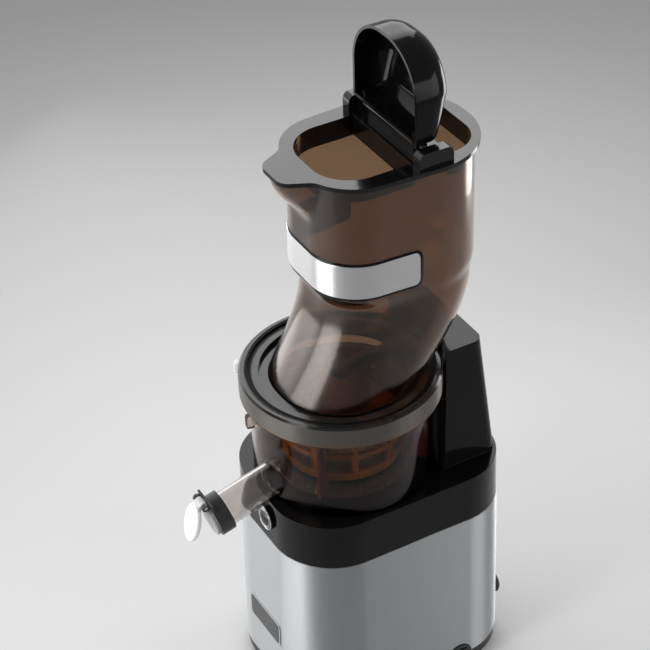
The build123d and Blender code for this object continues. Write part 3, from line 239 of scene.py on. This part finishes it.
def linedMetal(s, name, colour, rough):
    finish = Finish(name, {"Metallic": 1.0})
    lines = finish.lines(*s["lines"])
    finish.feed("Base Color", finish.blend(lines, colour, shaded(colour, s["darker"])))
    finish.feed("Roughness", rough + lines * s["swing"])
    return finish.bump(lines, *s["lift"]).material


def polishedMetal(name, colour, rough=0.06):
    return linedMetal(polishedSetting, name, colour, rough)


def turnedMetal(name, colour, rough=0.3):
    return linedMetal(turnedSetting, name, colour, rough)


glossSetting = {"coatRough": 0.04, "cloud": (14.0, 4.0), "specks": (900.0, 2.0), "blue": 1.1,
                "paler": 1.7, "swing": 0.06, "speckSwing": 0.02, "coatSwing": 0.1,
                "waves": (120.0, 2.0), "lift": (0.03, 0.06)}


def blackGloss(name, shade=0.003, rough=0.08, coat=0.0, shine=0.14):
    s = glossSetting
    finish = Finish(name, {"Coat Roughness": s["coatRough"], "Specular IOR Level": shine})
    cloud = finish.noise(*s["cloud"])
    specks = finish.noise(*s["specks"])
    colour = tone(shade, shade, shade * s["blue"])
    finish.feed("Base Color", finish.blend(cloud, colour, shaded(colour, s["paler"])))
    finish.feed("Roughness", rough + cloud * s["swing"] + specks * s["speckSwing"])
    finish.feed("Coat Weight", coat + cloud * s["coatSwing"])
    return finish.bump(finish.noise(*s["waves"]), *s["lift"]).material


grainSetting = {"detail": 2.0, "jagged": 0.6, "cloud": 20.0, "paler": 1.25, "swing": 0.15,
                "strength": 0.25}


def grainedPlastic(name, colour, rough=0.45, grain=1400.0, depth=0.05, shine=0.5):
    s = grainSetting
    finish = Finish(name, {"Specular IOR Level": shine})
    texture = finish.noise(grain, s["detail"], s["jagged"])
    cloud = finish.noise(s["cloud"])
    finish.feed("Base Color", finish.blend(cloud, colour, shaded(colour, s["paler"])))
    finish.feed("Roughness", rough + texture * s["swing"])
    return finish.bump(texture, s["strength"], depth).material


clearSetting = {"coatRough": 0.2, "cloud": 18.0, "darker": 0.9, "waves": (45.0, 2.0),
                "lift": (0.02, 0.06)}


# Clear tinted plastic: bend is its index, and the rough coat softens what it mirrors.
def tintedClear(name, colour, rough=0.0, haze=0.012, clearness=1.0, coat=0.8, shine=0.5, bend=1.2):
    s = clearSetting
    finish = Finish(name, {"IOR": bend, "Transmission Weight": clearness, "Coat Weight": coat,
                           "Coat Roughness": s["coatRough"], "Specular IOR Level": shine})
    cloud = finish.noise(s["cloud"])
    finish.feed("Base Color", finish.blend(cloud, colour, shaded(colour, s["darker"])))
    finish.feed("Roughness", rough + cloud * haze)
    return finish.bump(finish.noise(*s["waves"]), *s["lift"]).material


swirlSetting = {"bend": 1.5, "swirl": (35.0, 5.0, 0.6), "darker": 0.5, "rough": 0.10,
                "swing": 0.12, "lift": (0.05, 0.1)}


def swirledPlastic(name, colour, clearness):
    s = swirlSetting
    finish = Finish(name, {"IOR": s["bend"], "Transmission Weight": clearness})
    swirl = finish.noise(*s["swirl"])
    finish.feed("Base Color", finish.blend(swirl, shaded(colour, s["darker"]), colour))
    finish.feed("Roughness", s["rough"] + swirl * s["swing"])
    return finish.bump(swirl, *s["lift"]).material


rubberSetting = {"dust": (700.0, 3.0, 0.6), "paler": 1.3, "dusting": 0.006, "swing": 0.15,
                 "lift": (0.15, 0.05)}


def softRubber(name, colour, rough=0.6):
    s = rubberSetting
    finish = Finish(name)
    dust = finish.noise(*s["dust"])
    dusty = shaded(colour, s["paler"], s["dusting"])
    finish.feed("Base Color", finish.blend(dust, colour, dusty))
    finish.feed("Roughness", rough + dust * s["swing"])
    return finish.bump(dust, *s["lift"]).material


# The sieve's warm amber tint is painted amber glints from the strainer plastic around the steel.
sieveFinish = {"across": 150.0, "up": 30.0, "holeRadius": 0.3, "cloud": 150.0,
               "dark": tone(0.46, 0.27, 0.10), "pale": tone(0.60, 0.38, 0.16),
               "rough": 0.22, "swing": 0.15}


def piercedSteel():  # round holes over the piece's own map, every other row half a hole along
    s = sieveFinish
    finish = Finish("piercedSteel", {"Metallic": 1.0})
    x, y = finish.counted(s["across"], s["up"])
    shift = (y * 0.5).part().over(0.5) * 0.5
    across = (x + shift).part() - 0.5
    along = y.part() - 0.5
    cloud = finish.noise(s["cloud"])
    finish.feed("Base Color", finish.blend(cloud, s["dark"], s["pale"]))
    finish.feed("Roughness", s["rough"] + cloud * s["swing"])
    solid = (across * across + along * along).over(s["holeRadius"] ** 2)
    return finish.feed("Alpha", solid).material


weaveFinish = {"metallic": 0.9, "across": 30.0, "up": 14.0, "threadEdge": 0.8,
               "dark": tone(0.02, 0.02, 0.022), "pale": tone(0.22, 0.22, 0.23),
               "rough": 0.35, "swing": -0.1, "lift": (0.4, 0.1)}


def darkMesh():  # close diamond weave, dark between fine bright threads
    s = weaveFinish
    finish = Finish("darkMesh", {"Metallic": s["metallic"]})
    x, y = finish.counted(s["across"], s["up"])
    edge = s["threadEdge"]
    thread = (x + y).part().over(edge).larger((x - y).part().over(edge))
    finish.feed("Base Color", finish.blend(thread, s["dark"], s["pale"]))
    finish.feed("Roughness", s["rough"] + thread * s["swing"])
    return finish.bump(thread, *s["lift"]).material


finishes = {  # the CAD nodes' material slots
    "satin_metal": brushedSleeve(),
    "gloss_black": blackGloss("blackGloss"),
    "satin_black": grainedPlastic("satinBlack", tone(0.014, 0.014, 0.015), rough=0.28),
    "black_rubber": softRubber("blackRubber", tone(0.012, 0.012, 0.012)),
    "bright_metal": brushedBand(),
    "badge_metal": polishedMetal("badgeMetal", tone(0.62, 0.62, 0.63), rough=0.15),
    "lens": blackGloss("lensGloss", shade=0.02, rough=0.04, coat=0.04, shine=0.27),
    "bowl_clear": tintedClear("bowlClear", tone(0.50, 0.42, 0.385), coat=0.12),
    "chute_clear": tintedClear("chuteClear", tone(0.31, 0.19, 0.11), coat=1.0),
    "lid_clear": tintedClear("lidClear", tone(0.02, 0.018, 0.018), rough=0.10, haze=0.08,
                             clearness=0.35, coat=0.0, shine=0.18, bend=1.49),
    "amber": swirledPlastic("amberPlastic", tone(0.88, 0.34, 0.035), 0.4),
    "brush_plastic": swirledPlastic("brushPlastic", tone(0.50, 0.40, 0.34), 0.85),
    "red_silicone": softRubber("redSilicone", tone(0.16, 0.012, 0.01), rough=0.45),
    "pale_silicone": softRubber("paleSilicone", tone(0.42, 0.42, 0.42), rough=0.4),
    "white_plastic": grainedPlastic("whitePlastic", tone(0.66, 0.66, 0.66), rough=0.12,
                                    grain=300.0, depth=0.02),
    "steel": turnedMetal("turnedSteel", tone(0.50, 0.50, 0.51)),
    "gear_steel": turnedMetal("gearSteel", tone(0.32, 0.32, 0.33), rough=0.35),
    "bronze": turnedMetal("bronze", tone(0.55, 0.36, 0.16)),
    "copper_wire": turnedMetal("copperWire", tone(0.60, 0.26, 0.12)),
    "cast_metal": turnedMetal("castMetal", tone(0.42, 0.42, 0.43), rough=0.5),
    "case_steel": grainedPlastic("caseSteel", tone(0.25, 0.26, 0.27), rough=0.35),
    "inner_plastic": grainedPlastic("innerPlastic", tone(0.08, 0.08, 0.08)),
    "board": grainedPlastic("boardLacquer", tone(0.02, 0.14, 0.06), rough=0.3),
}
ownFinishes = {  # finishes of single pieces
    "sieve": piercedSteel(),
    "weave": darkMesh(),
    "ringBand": satinBand(),
    "polishedRings": polishedMetal("polishedRings", tone(0.80, 0.80, 0.81)),
    "spout": tintedClear("spoutClear", tone(0.80, 0.765, 0.745), coat=0.6, bend=1.35),
    "rim": blackGloss("rimGloss", shade=0.004, coat=0.04, shine=0.27),
    # Near black with little shine: painted shade of a deep groove on the ring's top.
    "groove": grainedPlastic("paintedGrooveShade", tone(0.003, 0.0025, 0.0025), rough=0.5, shine=0.1),
}
for node, thing in nodes.items():
    thing.data.materials.clear()
    thing.data.materials.append(finishes[slotOf[node]])


def addPiece(name, mesh, body, slotName, stands=(), material=None):
    mesh.polygons.foreach_set("use_smooth", np.ones(len(mesh.polygons), dtype=bool))
    mesh.materials.clear()
    mesh.materials.append(material or finishes[slotName])
    piece = bpy.data.objects.new(name, mesh)
    bpy.context.scene.collection.objects.link(piece)
    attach(piece, body)
    if stands:
        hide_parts(*stands)
    return piece


print("copies")
copySetting = {"merge": 0.002, "flatAngle": 0.6, "edgeAngle": 30.0, "segments": 2, "weight": 60}


# A CAD node's mesh merged into one skin, its flat faces joined and its hard edges rounded.
def roundedCopy(node, body, width, shape=None, material=None):
    s = copySetting
    mesh = nodes[node].data.copy()
    skin = bmesh.new()
    skin.from_mesh(mesh)
    bmesh.ops.remove_doubles(skin, verts=skin.verts, dist=s["merge"] * mm)
    bmesh.ops.dissolve_limit(skin, angle_limit=math.radians(s["flatAngle"]),
                             verts=skin.verts, edges=skin.edges)
    skin.to_mesh(mesh)
    skin.free()
    if shape:
        spots = shape(meshSpots(mesh))
        mesh.vertices.foreach_set("co", ((spots + driveAxis) * mm).reshape(-1))
    mesh.update()
    piece = addPiece(node + "_skin", mesh, body, slotOf[node], (node,), material)
    bevel = piece.modifiers.new("edge", "BEVEL")
    bevel.width = width * mm
    bevel.segments = s["segments"]
    bevel.limit_method = "ANGLE"
    bevel.angle_limit = math.radians(s["edgeAngle"])
    even = piece.modifiers.new("even", "WEIGHTED_NORMAL")
    even.keep_sharp = True
    even.weight = s["weight"]


copies = {  # the body each node rides, and how wide its edges are rounded
    "body_shell": ("base", 0.35), "top_cover": ("base", 0.9), "base_tray": ("base", 0.6),
    "rubber_feet": ("base", 0.5), "badge_plate": ("base", 0.3), "switch_housing": ("base", 0.7),
    "rocker_switch": ("rocker", 0.5), "cord_gland": ("base", 0.5), "indicator_bezel": ("base", 0.3),
    "juicing_bowl": ("bowl", 0.6), "juice_spout": ("bowl", 0.4), "pulp_spout": ("bowl", 0.4),
    "strainer_frame": ("bowl", 0.4), "cap_collar": ("bowl", 0.5), "cap_gate": ("cap", 0.4),
    "cap_lever": ("cap", 0.5), "brush_frame": ("brush", 0.4), "lid_ring": ("lid", 0.6),
    "chute_rim": ("lid", 0.8),
}
copyFinish = {"juice_spout": ownFinishes["spout"], "chute_rim": ownFinishes["rim"],
              "indicator_bezel": finishes["gloss_black"]}
for node, (body, width) in copies.items():
    roundedCopy(node, body, width, material=copyFinish.get(node))

flapSetting = {"edge": 0.7, "openY": 52.0, "deepen": 0.36, "earZ": 556.0, "domeZ": 582.0}


# The flap's dome drawn out to the rear: above its ears each point behind the open face moves back
# in proportion to its distance from it, eased in with a smooth step over height.
def deeperDome(spots):
    s = flapSetting
    rise = np.clip((spots[:, 2] - s["earZ"]) / (s["domeZ"] - s["earZ"]), 0, 1)
    rise = rise * rise * (3 - 2 * rise)
    spots[:, 1] += s["deepen"] * rise * np.maximum(spots[:, 1] - s["openY"], 0)
    return spots


roundedCopy("flap", "flap", flapSetting["edge"], shape=deeperDome)


gridSetting = {"merge": 0.001, "flat": 35.0, "round": 80.0}  # edges past the angle stay hard


# A grid of points (rows, columns, 3) made a mesh: each face joins four neighbours, wrapped round
# where closed, with the shares of the column and the row as its map.
def gridMesh(name, points, closeRows=False, closeColumns=False, capEnds=False, edges="flat"):
    rows, columns = points.shape[:2]
    index = np.arange(rows * columns).reshape(rows, columns)
    if closeRows:
        index = np.vstack((index, index[:1]))
    if closeColumns:
        index = np.hstack((index, index[:, :1]))
    down, across = np.indices(index.shape)
    shares = np.stack((across / (index.shape[1] - 1), down / (index.shape[0] - 1)), axis=-1)

    def corners(grid):
        return np.stack((grid[:-1, :-1], grid[:-1, 1:], grid[1:, 1:], grid[1:, :-1]), axis=2)

    spots = (points.reshape(-1, 3) + driveAxis) * mm
    mesh = bpy.data.meshes.new(name)
    mesh.from_pydata(spots.tolist(), [], corners(index).reshape(-1, 4).tolist())
    layer = mesh.uv_layers.new(name="UVMap")
    layer.data.foreach_set("uv", corners(shares).reshape(-1).astype(np.float32))
    skin = bmesh.new()
    skin.from_mesh(mesh)
    bmesh.ops.remove_doubles(skin, verts=skin.verts, dist=gridSetting["merge"] * mm)
    if capEnds:
        bmesh.ops.holes_fill(skin, edges=[edge for edge in skin.edges if edge.is_boundary])
    bmesh.ops.recalc_face_normals(skin, faces=skin.faces)
    skin.to_mesh(mesh)
    skin.free()
    mesh.set_sharp_from_angle(angle=math.radians(gridSetting[edges]))
    return mesh


def fullTurn(count):  # count angles evenly round a circle
    return np.linspace(0, 2 * np.pi, count, endpoint=False)


# Corners rounded to their radii: each arc runs from the point at radius / tan(half angle) on one
# side to the same on the other, its points slerped between the two about the arc's centre.
def roundedRing(corners, radii, steps):
    before = np.roll(corners, 1, axis=0) - corners
    after = np.roll(corners, -1, axis=0) - corners
    before /= np.linalg.norm(before, axis=1, keepdims=True)
    after /= np.linalg.norm(after, axis=1, keepdims=True)
    half = np.arccos(np.clip((before * after).sum(axis=1), -1, 1)) / 2
    bisector = before + after
    bisector /= np.linalg.norm(bisector, axis=1, keepdims=True)
    centre = corners + bisector * (radii / np.sin(half))[:, None]
    reach = (radii / np.tan(half))[:, None]
    first = (corners + before * reach - centre)[:, None]
    last = (corners + after * reach - centre)[:, None]
    sweep = (np.pi - 2 * half)[:, None]
    share = np.linspace(0, 1, steps)[None]
    leading = (np.sin((1 - share) * sweep) / np.sin(sweep))[..., None]
    trailing = (np.sin(share * sweep) / np.sin(sweep))[..., None]
    return (centre[:, None] + leading * first + trailing * last).reshape(-1, 2)


def runAlong(line):  # each point's distance along a line of points
    steps = np.linalg.norm(np.diff(line, axis=0), axis=1)
    return np.concatenate(([0], np.cumsum(steps)))


# A closed outline as count points evenly spaced along it, from the middle of its closing side.
def evenly(outline, count):
    seam = (outline[:1] + outline[-1:]) / 2
    closed = np.vstack((seam, outline, seam))
    run = runAlong(closed)
    spots = np.linspace(0, run[-1], count, endpoint=False)
    return np.stack([np.interp(spots, run, closed[:, axis]) for axis in (0, 1)], axis=-1)


# A closed profile of (radius, height) turned round the drive axis: x is the radius times the
# angle's cosine, y the radius times its sine.
def lathe(name, profile, columns, edges="flat"):
    radius, height = np.array(profile, dtype=float).T[..., None]
    angle = fullTurn(columns)
    x, y = radius * np.cos(angle), radius * np.sin(angle)
    points = np.stack((x, y, np.broadcast_to(height, x.shape)), axis=-1)
    return gridMesh(name, points, closeRows=True, closeColumns=True, edges=edges)


# A pad with round edges: each axis is its half size times a sine or cosine raised to softness.
def pad(name, centre, halves, turn, softness=0.35, rows=17, columns=40):
    def drawn(value):
        return np.sign(value) * np.abs(value) ** softness

    up, about = np.meshgrid(np.linspace(-np.pi / 2, np.pi / 2, rows), fullTurn(columns),
                            indexing="ij")
    x = halves[0] * drawn(np.cos(up)) * drawn(np.cos(about))
    y = halves[1] * drawn(np.cos(up)) * drawn(np.sin(about))
    z = halves[2] * drawn(np.sin(up))
    cosine, sine = math.cos(turn), math.sin(turn)
    points = np.stack((centre[0] + cosine * x - sine * y, centre[1] + sine * x + cosine * y,
                       centre[2] + z), axis=-1)
    return gridMesh(name, points, closeColumns=True, edges="round")


print("chute")
chuteSetting = {
    "wall": 2.8, "footZ": 318.0, "waistZ": 412.0, "hopperZ": 426.0, "topZ": 531.0,
    # each measure of the outline at the foot, at the waist and up the hopper
    "front": (-60.5, -24.0, -32.0), "rear": (64.0, 118.4, 121.4),
    "halfFront": (64.0, 51.7, 53.6), "halfRear": (64.0, 63.0, 63.0),
    "cornerFront": (60.0, 43.0, 43.0), "cornerRear": (60.0, 56.0, 57.0),
    "lipDrop": 41.0, "lipFootHalf": 16.0, "lipSpread": 12.5, "lipDepth": 24.5, "lipRear": 20.0,
    "spreadPower": 0.6, "moundPower": 0.75, "risePower": 1.15,
    "elbowRows": 30, "flareRows": 8, "lipRows": 18, "plainZ": (430.0, 460.0, 485.0),
    "arcSteps": 24, "columns": 240,
}


# One level outline of the chute: four straight sides, drawn in by inset, between round corners.
def chuteOutline(front, rear, halfFront, halfRear, cornerFront, cornerRear, inset, count):
    corners = np.array([(halfFront - inset, front + inset), (halfRear - inset, rear - inset),
                        (inset - halfRear, rear - inset), (inset - halfFront, front + inset)])
    radii = np.array([cornerFront, cornerRear, cornerRear, cornerFront]) - inset
    return evenly(roundedRing(corners, radii, chuteSetting["arcSteps"]), count)


# The chute's outline at height z: up the elbow its front and rear follow a sine and its sides run
# straight, up the flare it eases out to the hopper, and near the top a mound that widens as it
# rises, a sine upwards and a cosine across, makes the pouring lip.
def chuteRow(z, inset):
    s = chuteSetting
    climb = np.clip((z - s["footZ"]) / (s["waistZ"] - s["footZ"]), 0, 1)
    flare = np.clip((z - s["waistZ"]) / (s["hopperZ"] - s["waistZ"]), 0, 1)
    flare = flare * flare * (3 - 2 * flare)
    bend = np.sin(climb * np.pi / 2)

    def measure(key, share):
        foot, waist, hopper = s[key]
        return foot + (waist - foot) * share + (hopper - waist) * flare

    outline = chuteOutline(measure("front", bend), measure("rear", bend),
                           measure("halfFront", climb), measure("halfRear", climb),
                           measure("cornerFront", climb), measure("cornerRear", climb),
                           inset, s["columns"])
    rise = np.clip((z - s["topZ"] + s["lipDrop"]) / s["lipDrop"], 0, 1)
    spread = s["lipFootHalf"] + s["lipSpread"] * rise ** s["spreadPower"]
    across = np.clip(outline[:, 0] / spread, -1, 1)
    mound = np.abs(np.cos(across * np.pi / 2)) ** s["moundPower"] * (outline[:, 1] < s["lipRear"])
    outline[:, 1] -= s["lipDepth"] * np.sin(rise * np.pi / 2) ** s["risePower"] * mound
    return np.column_stack((outline, np.full(len(outline), z)))


# The wall's rows climb its outside and come back down its inside.
def feedChute():
    s = chuteSetting
    heights = np.concatenate((np.linspace(s["footZ"], s["waistZ"], s["elbowRows"]),
                              np.linspace(s["waistZ"], s["hopperZ"], s["flareRows"])[1:],
                              s["plainZ"],
                              np.linspace(s["topZ"] - s["lipDrop"], s["topZ"], s["lipRows"])))
    outer = [chuteRow(z, 0.0) for z in heights]
    inner = [chuteRow(z, s["wall"]) for z in heights[::-1]]
    mesh = gridMesh("chute_wall", np.stack(outer + inner), closeRows=True, closeColumns=True)
    addPiece("chute_wall", mesh, "lid", "chute_clear", ("chute",))


feedChute()

bandSetting = {
    "low": 428.0, "high": 459.0, "rear": 45.0, "corner": 5.0, "gap": 0.1, "thickness": 0.9,
    "recessOver": 2.4, "recessGap": 0.02, "recessThickness": 0.35, "columns": 480,
    # the strip's section: a share of the way out and a share of the half height
    "section": ((0.0, -1.0), (0.75, -1.0), (1.0, -0.985), (1.0, 0.985), (0.75, 1.0), (0.0, 1.0)),
}


# The hopper's level outline, grown by over, from the middle of its rear.
def hopperOutline(over):
    s, count = chuteSetting, bandSetting["columns"]
    keys = ("front", "rear", "halfFront", "halfRear", "cornerFront", "cornerRear")
    outline = chuteOutline(*(s[key][-1] for key in keys), -over, count)
    return np.roll(outline, count // 2, axis=0)


# A strip carried along the hopper's outline as far back as its rear: its half height is full
# along the middle and falls along a quarter circle towards both ends.
def hopperStrip(name, over, gap, thickness, slotName, stands=()):
    s = bandSetting
    corner = s["corner"] + over
    wall, face = hopperOutline(gap), hopperOutline(thickness)
    kept = face[:, 1] < s["rear"] + over
    wall, face = wall[kept], face[kept]
    run = runAlong(face)
    near = np.minimum(np.minimum(run, run[-1] - run), corner)
    half = (s["high"] - s["low"]) / 2 + over - corner + np.sqrt(corner ** 2 - (corner - near) ** 2)
    out, up = np.array(s["section"]).T
    plan = wall[None] + out[:, None, None] * (face - wall)[None]
    z = (s["low"] + s["high"]) / 2 + up[:, None] * half[None]
    points = np.concatenate((plan, z[..., None]), axis=-1)
    mesh = gridMesh(name, points, closeRows=True, capEnds=True)
    addPiece(name, mesh, "lid", slotName, stands)


def chuteBand():  # the bright face and the thin dark recess that it stands in
    s = bandSetting
    hopperStrip("chute_band_face", 0.0, s["gap"], s["thickness"], "bright_metal", ("chute_band",))
    hopperStrip("chute_band_recess", s["recessOver"], s["recessGap"], s["recessThickness"],
                "gloss_black")


chuteBand()

print("trim")
lightSetting = {"rings": (8.9, 11.4), "bezel": 12.0, "bar": 0.36, "proud": 0.1, "step": 0.25,
                "sides": 12, "columns": 72}


# Thin bright rings round the front light: a small circle of the bar's radius carried round a
# larger one that faces forwards.
def lightRings():
    s = lightSetting
    low, high = nodeBox("indicator_bezel")
    x, z = (low[0] + high[0]) / 2, (low[2] + high[2]) / 2
    outer = (high[0] - low[0]) / 2
    small, around = np.meshgrid(fullTurn(s["sides"]), fullTurn(s["columns"]), indexing="ij")
    for number, size in enumerate(s["rings"]):
        radius = outer * size / s["bezel"] + s["bar"] * np.cos(small)
        y = low[1] - s["proud"] + number * s["step"] + s["bar"] * np.sin(small)
        points = np.stack((x + radius * np.cos(around), y, z + radius * np.sin(around)), axis=-1)
        mesh = gridMesh("lamp_ring", points, closeRows=True, closeColumns=True)
        addPiece("lamp_ring_" + str(number), mesh, "base", "bright_metal",
                 material=ownFinishes["polishedRings"])


lightRings()

ringSetting = {
    "columns": 192, "landZ": 324.4, "shelfZ": 322.4, "step": 80.0, "groove": (76.6, 82.4),
    "grooveProud": 0.1, "grooveSink": 0.2, "stepSink": 0.3, "bead": 0.55, "beadSides": 12,
    "bandSink": 0.4, "bandEdge": 0.12, "bandProud": 0.3, "bandLow": 0.9, "bandHigh": 1.8,
    "bandRound": 0.2,
}


# The ring's satin facing: a flat section with two small bevels, turned round the drive axis.
def ringFacing():
    s = ringSetting
    low, high = nodeBox("lid_ring")
    back, edge, face = high[0] - s["bandSink"], high[0] + s["bandEdge"], high[0] + s["bandProud"]
    bottom, top = low[2] + s["bandLow"], s["landZ"] - s["bandHigh"]
    profile = [(back, bottom), (edge, bottom), (face, bottom + s["bandRound"]),
               (face, top - s["bandRound"]), (edge, top), (back, top)]
    addPiece("ring_side", lathe("ring_side", profile, s["columns"]), "lid", "lid_clear",
             material=ownFinishes["ringBand"])


# The step between the ring's shelf and its land, near black as painted shade of a deep groove, a
# stepped section turned round the axis, and a bead on each of its edges, a small circle turned in
# the same way.
def ringGroove():
    s = ringSetting
    (inner, outer), step, shelf, land = s["groove"], s["step"], s["shelfZ"], s["landZ"]
    face, back = step - s["grooveProud"], step + s["stepSink"]
    profile = [(inner, shelf - s["grooveSink"]), (inner, shelf + s["grooveProud"]),
               (face, shelf + s["grooveProud"]), (face, land + s["grooveProud"]),
               (outer, land + s["grooveProud"]), (outer, land - s["grooveSink"]),
               (back, land - s["grooveSink"]), (back, shelf - s["grooveSink"])]
    addPiece("lid_groove", lathe("lid_groove", profile, s["columns"]), "lid", "lid_clear",
             material=ownFinishes["groove"])
    turned = fullTurn(s["beadSides"])
    for number, (middle, level) in enumerate(((inner, shelf), (outer, land))):
        bead = np.stack((middle + s["bead"] * np.cos(turned), level + s["bead"] * np.sin(turned)),
                        axis=-1)
        mesh = lathe("lid_bead", bead, s["columns"], "round")
        addPiece("lid_bead_" + str(number), mesh, "lid", "lid_clear", material=ownFinishes["rim"])


ringFacing()
ringGroove()

tabSetting = {"angle": -128.0, "reach": 2.2, "drop": 8.0, "halves": (2.6, 5.2, 4.8)}
lugSetting = {"angle": -98.0, "radius": 83.0, "z": 290.5, "halves": (4.8, 3.0, 7.0)}


# A pad set at an angle round the drive axis.
def sidePad(name, angle, radius, z, halves):
    turn = math.radians(angle)
    return pad(name, (radius * math.cos(turn), radius * math.sin(turn), z), halves, turn)


def tabAndLug():
    s = tabSetting
    radius, z = nodeBox("lid_ring")[1][0] + s["reach"], ringSetting["landZ"] - s["drop"]
    tip = sidePad("tab_tip", s["angle"], radius, z, s["halves"])
    addPiece("tab_tip", tip, "lid", "white_plastic")
    s = lugSetting
    lug = sidePad("bowl_lug", s["angle"], s["radius"], s["z"], s["halves"])
    addPiece("bowl_lug", lug, "bowl", "bowl_clear")


tabAndLug()

badgeSetting = {"border": 2.0, "corner": 3.2, "proud": 0.25, "edgeProud": (-0.2, 0.1),
                "arcSteps": 12, "columns": 96,
                "rings": (1.0, 1.0, 0.985, 0.9, 0.75, 0.6, 0.45, 0.3, 0.15, 0.0)}


# The badge's dark middle: a rounded rectangle's rings shrink towards its centre on a plane that
# follows the plate's leaning face, drawn out by proud and falling back along the first two.
def badgeFace():
    s = badgeSetting
    low, high = nodeBox("badge_plate")
    width, height = (high[0] - low[0]) / 2 - s["border"], (high[2] - low[2]) / 2 - s["border"]
    middle = (high[2] + low[2]) / 2
    plate = meshSpots(nodes["badge_plate"].data)
    front = plate[plate[:, 1] < np.median(plate[:, 1])]
    slope, lean = np.polyfit(front[:, 2], front[:, 1], 1)
    corners = np.array([(width, -height), (width, height), (-width, height), (-width, -height)])
    ring = roundedRing(corners, np.full(4, s["corner"]), s["arcSteps"])
    outline = evenly(ring, s["columns"])[None]
    shrink = np.array(s["rings"])[:, None]
    proud = np.full(shrink.shape, s["proud"])
    proud[:2, 0] = s["edgeProud"]
    x = shrink * outline[..., 0]
    z = middle + shrink * outline[..., 1]
    points = np.stack((x, slope * z + lean - proud, z), axis=-1)
    mesh = gridMesh("badge_face", points, closeColumns=True)
    owner = np.empty(len(mesh.loops), dtype=np.int32)
    mesh.loops.foreach_get("vertex_index", owner)
    spots = meshSpots(mesh)[owner]
    flat = np.stack(((spots[:, 0] + width) / (2 * width),
                     (spots[:, 2] - middle + height) / (2 * height)), axis=-1)
    mesh.uv_layers["UVMap"].data.foreach_set("uv", flat.reshape(-1).astype(np.float32))
    addPiece("badge_face", mesh, "base", "badge_metal", material=ownFinishes["weave"])


badgeFace()

strainerSetting = {"taper": 10.0 / 58.0, "thickness": 0.4, "rows": 8, "columns": 144}


# The strainer's pierced sleeve: a straight taper from wide above to narrow below, turned round.
def strainerLining():
    s = strainerSetting
    low, high = nodeBox("strainer_screen")
    heights = np.linspace(low[2], high[2], s["rows"])
    outer = high[0] - (high[2] - heights) * s["taper"]
    outside = np.column_stack((outer, heights))
    inside = np.column_stack((outer - s["thickness"], heights))[::-1]
    mesh = lathe("strainer_mesh", np.vstack((outside, inside)), s["columns"])
    addPiece("strainer_mesh", mesh, "bowl", "steel", ("strainer_screen",), ownFinishes["sieve"])


strainerLining()

print("room")
room = {"floorTone": 0.64, "floorRough": 0.6, "floorCloud": 1.5, "mottle": 0.03, "span": 4.0,
        "sky": 0.36, "lampAimZ": 320.0, "lampSpread": 100.0}
lamps = {  # azimuth, elevation, distance, width, height (metres) and radiance
    "left": (-64, -2, 0.95, 1.3, 0.5, 0.9),
    "leftHigh": (-60, 32, 1.6, 1.6, 1.1, 0.4),
    "front": (-7, -2, 1.0, 0.75, 0.5, 1.7),
    "key": (10, 32, 1.4, 0.38, 1.1, 1.5),
    "rear": (186, -2, 0.8, 0.3, 0.5, 2.2),
    "side": (133, 10, 1.3, 0.7, 0.8, 0.8),
    "top": (241, 36, 1.5, 1.0, 1.0, 1.1),
}
viewSetting = {"azimuth": 61.5, "elevation": 36.1, "roll": 2.0, "distance": 1731.8,
               "lens": 114.4, "sensor": 36.0, "aim": (0.0, -13.34, 372.05)}


def paleGround():
    finish = Finish("paleGround", {"Roughness": room["floorRough"]})
    low, high = room["floorTone"], room["floorTone"] + room["mottle"]
    cloud = finish.noise(room["floorCloud"])
    finish.feed("Base Color", finish.blend(cloud, tone(low, low, low), tone(high, high, high)))
    return finish.material


def floor():
    half = room["span"]
    mesh = bpy.data.meshes.new("floor")
    corners = [(-half, -half, 0), (half, -half, 0), (half, half, 0), (-half, half, 0)]
    mesh.from_pydata(corners, [], [(0, 1, 2, 3)])
    mesh.materials.append(paleGround())
    ground = bpy.data.objects.new("floor", mesh)
    bpy.context.scene.collection.objects.link(ground)


def world():
    made = bpy.data.worlds.new("studio")
    made.use_nodes = True
    shade = made.node_tree.nodes["Background"]
    shade.inputs["Color"].default_value = tone(1.0, 1.0, 1.0)
    shade.inputs["Strength"].default_value = room["sky"]
    bpy.context.scene.world = made


def outwards(azimuth, elevation):  # the way to a lamp or camera, azimuth 0 in front of the juicer
    a, e = math.radians(azimuth), math.radians(elevation)
    return Vector((math.sin(a) * math.cos(e), -math.cos(a) * math.cos(e), math.sin(e)))


def lamp(name, azimuth, elevation, distance, width, height, radiance):
    back = outwards(azimuth, elevation)
    data = bpy.data.lights.new(name, "AREA")
    data.shape = "RECTANGLE"
    data.size = width
    data.size_y = height
    data.energy = radiance * math.pi * width * height  # a full spread would give that radiance
    data.spread = math.radians(room["lampSpread"])
    thing = bpy.data.objects.new(name, data)
    aim = Vector((driveAxis[0], driveAxis[1], room["lampAimZ"])) * mm
    thing.location = aim + back * distance
    thing.rotation_mode = "QUATERNION"
    thing.rotation_quaternion = (-back).to_track_quat("-Z", "Y")
    thing.visible_camera = False
    bpy.context.scene.collection.objects.link(thing)


def camera():
    s = viewSetting
    back = outwards(s["azimuth"], s["elevation"])
    right = outwards(s["azimuth"] + 90, 0)
    up = back.cross(right)
    data = bpy.data.cameras.new("view")
    data.lens = s["lens"]
    data.sensor_width = s["sensor"]
    thing = bpy.data.objects.new("view", data)
    spot = (Vector(s["aim"]) + Vector(driveAxis) + back * s["distance"]) * mm
    roll = Matrix.Rotation(-math.radians(s["roll"]), 3, "Z")
    turned = Matrix((right, up, back)).transposed() @ roll
    thing.matrix_world = Matrix.Translation(spot) @ turned.to_4x4()
    bpy.context.scene.collection.objects.link(thing)
    bpy.context.scene.camera = thing


floor()
world()
for name, setting in lamps.items():
    lamp(name, *setting)
camera()
bpy.context.scene.view_settings.view_transform = "Standard"
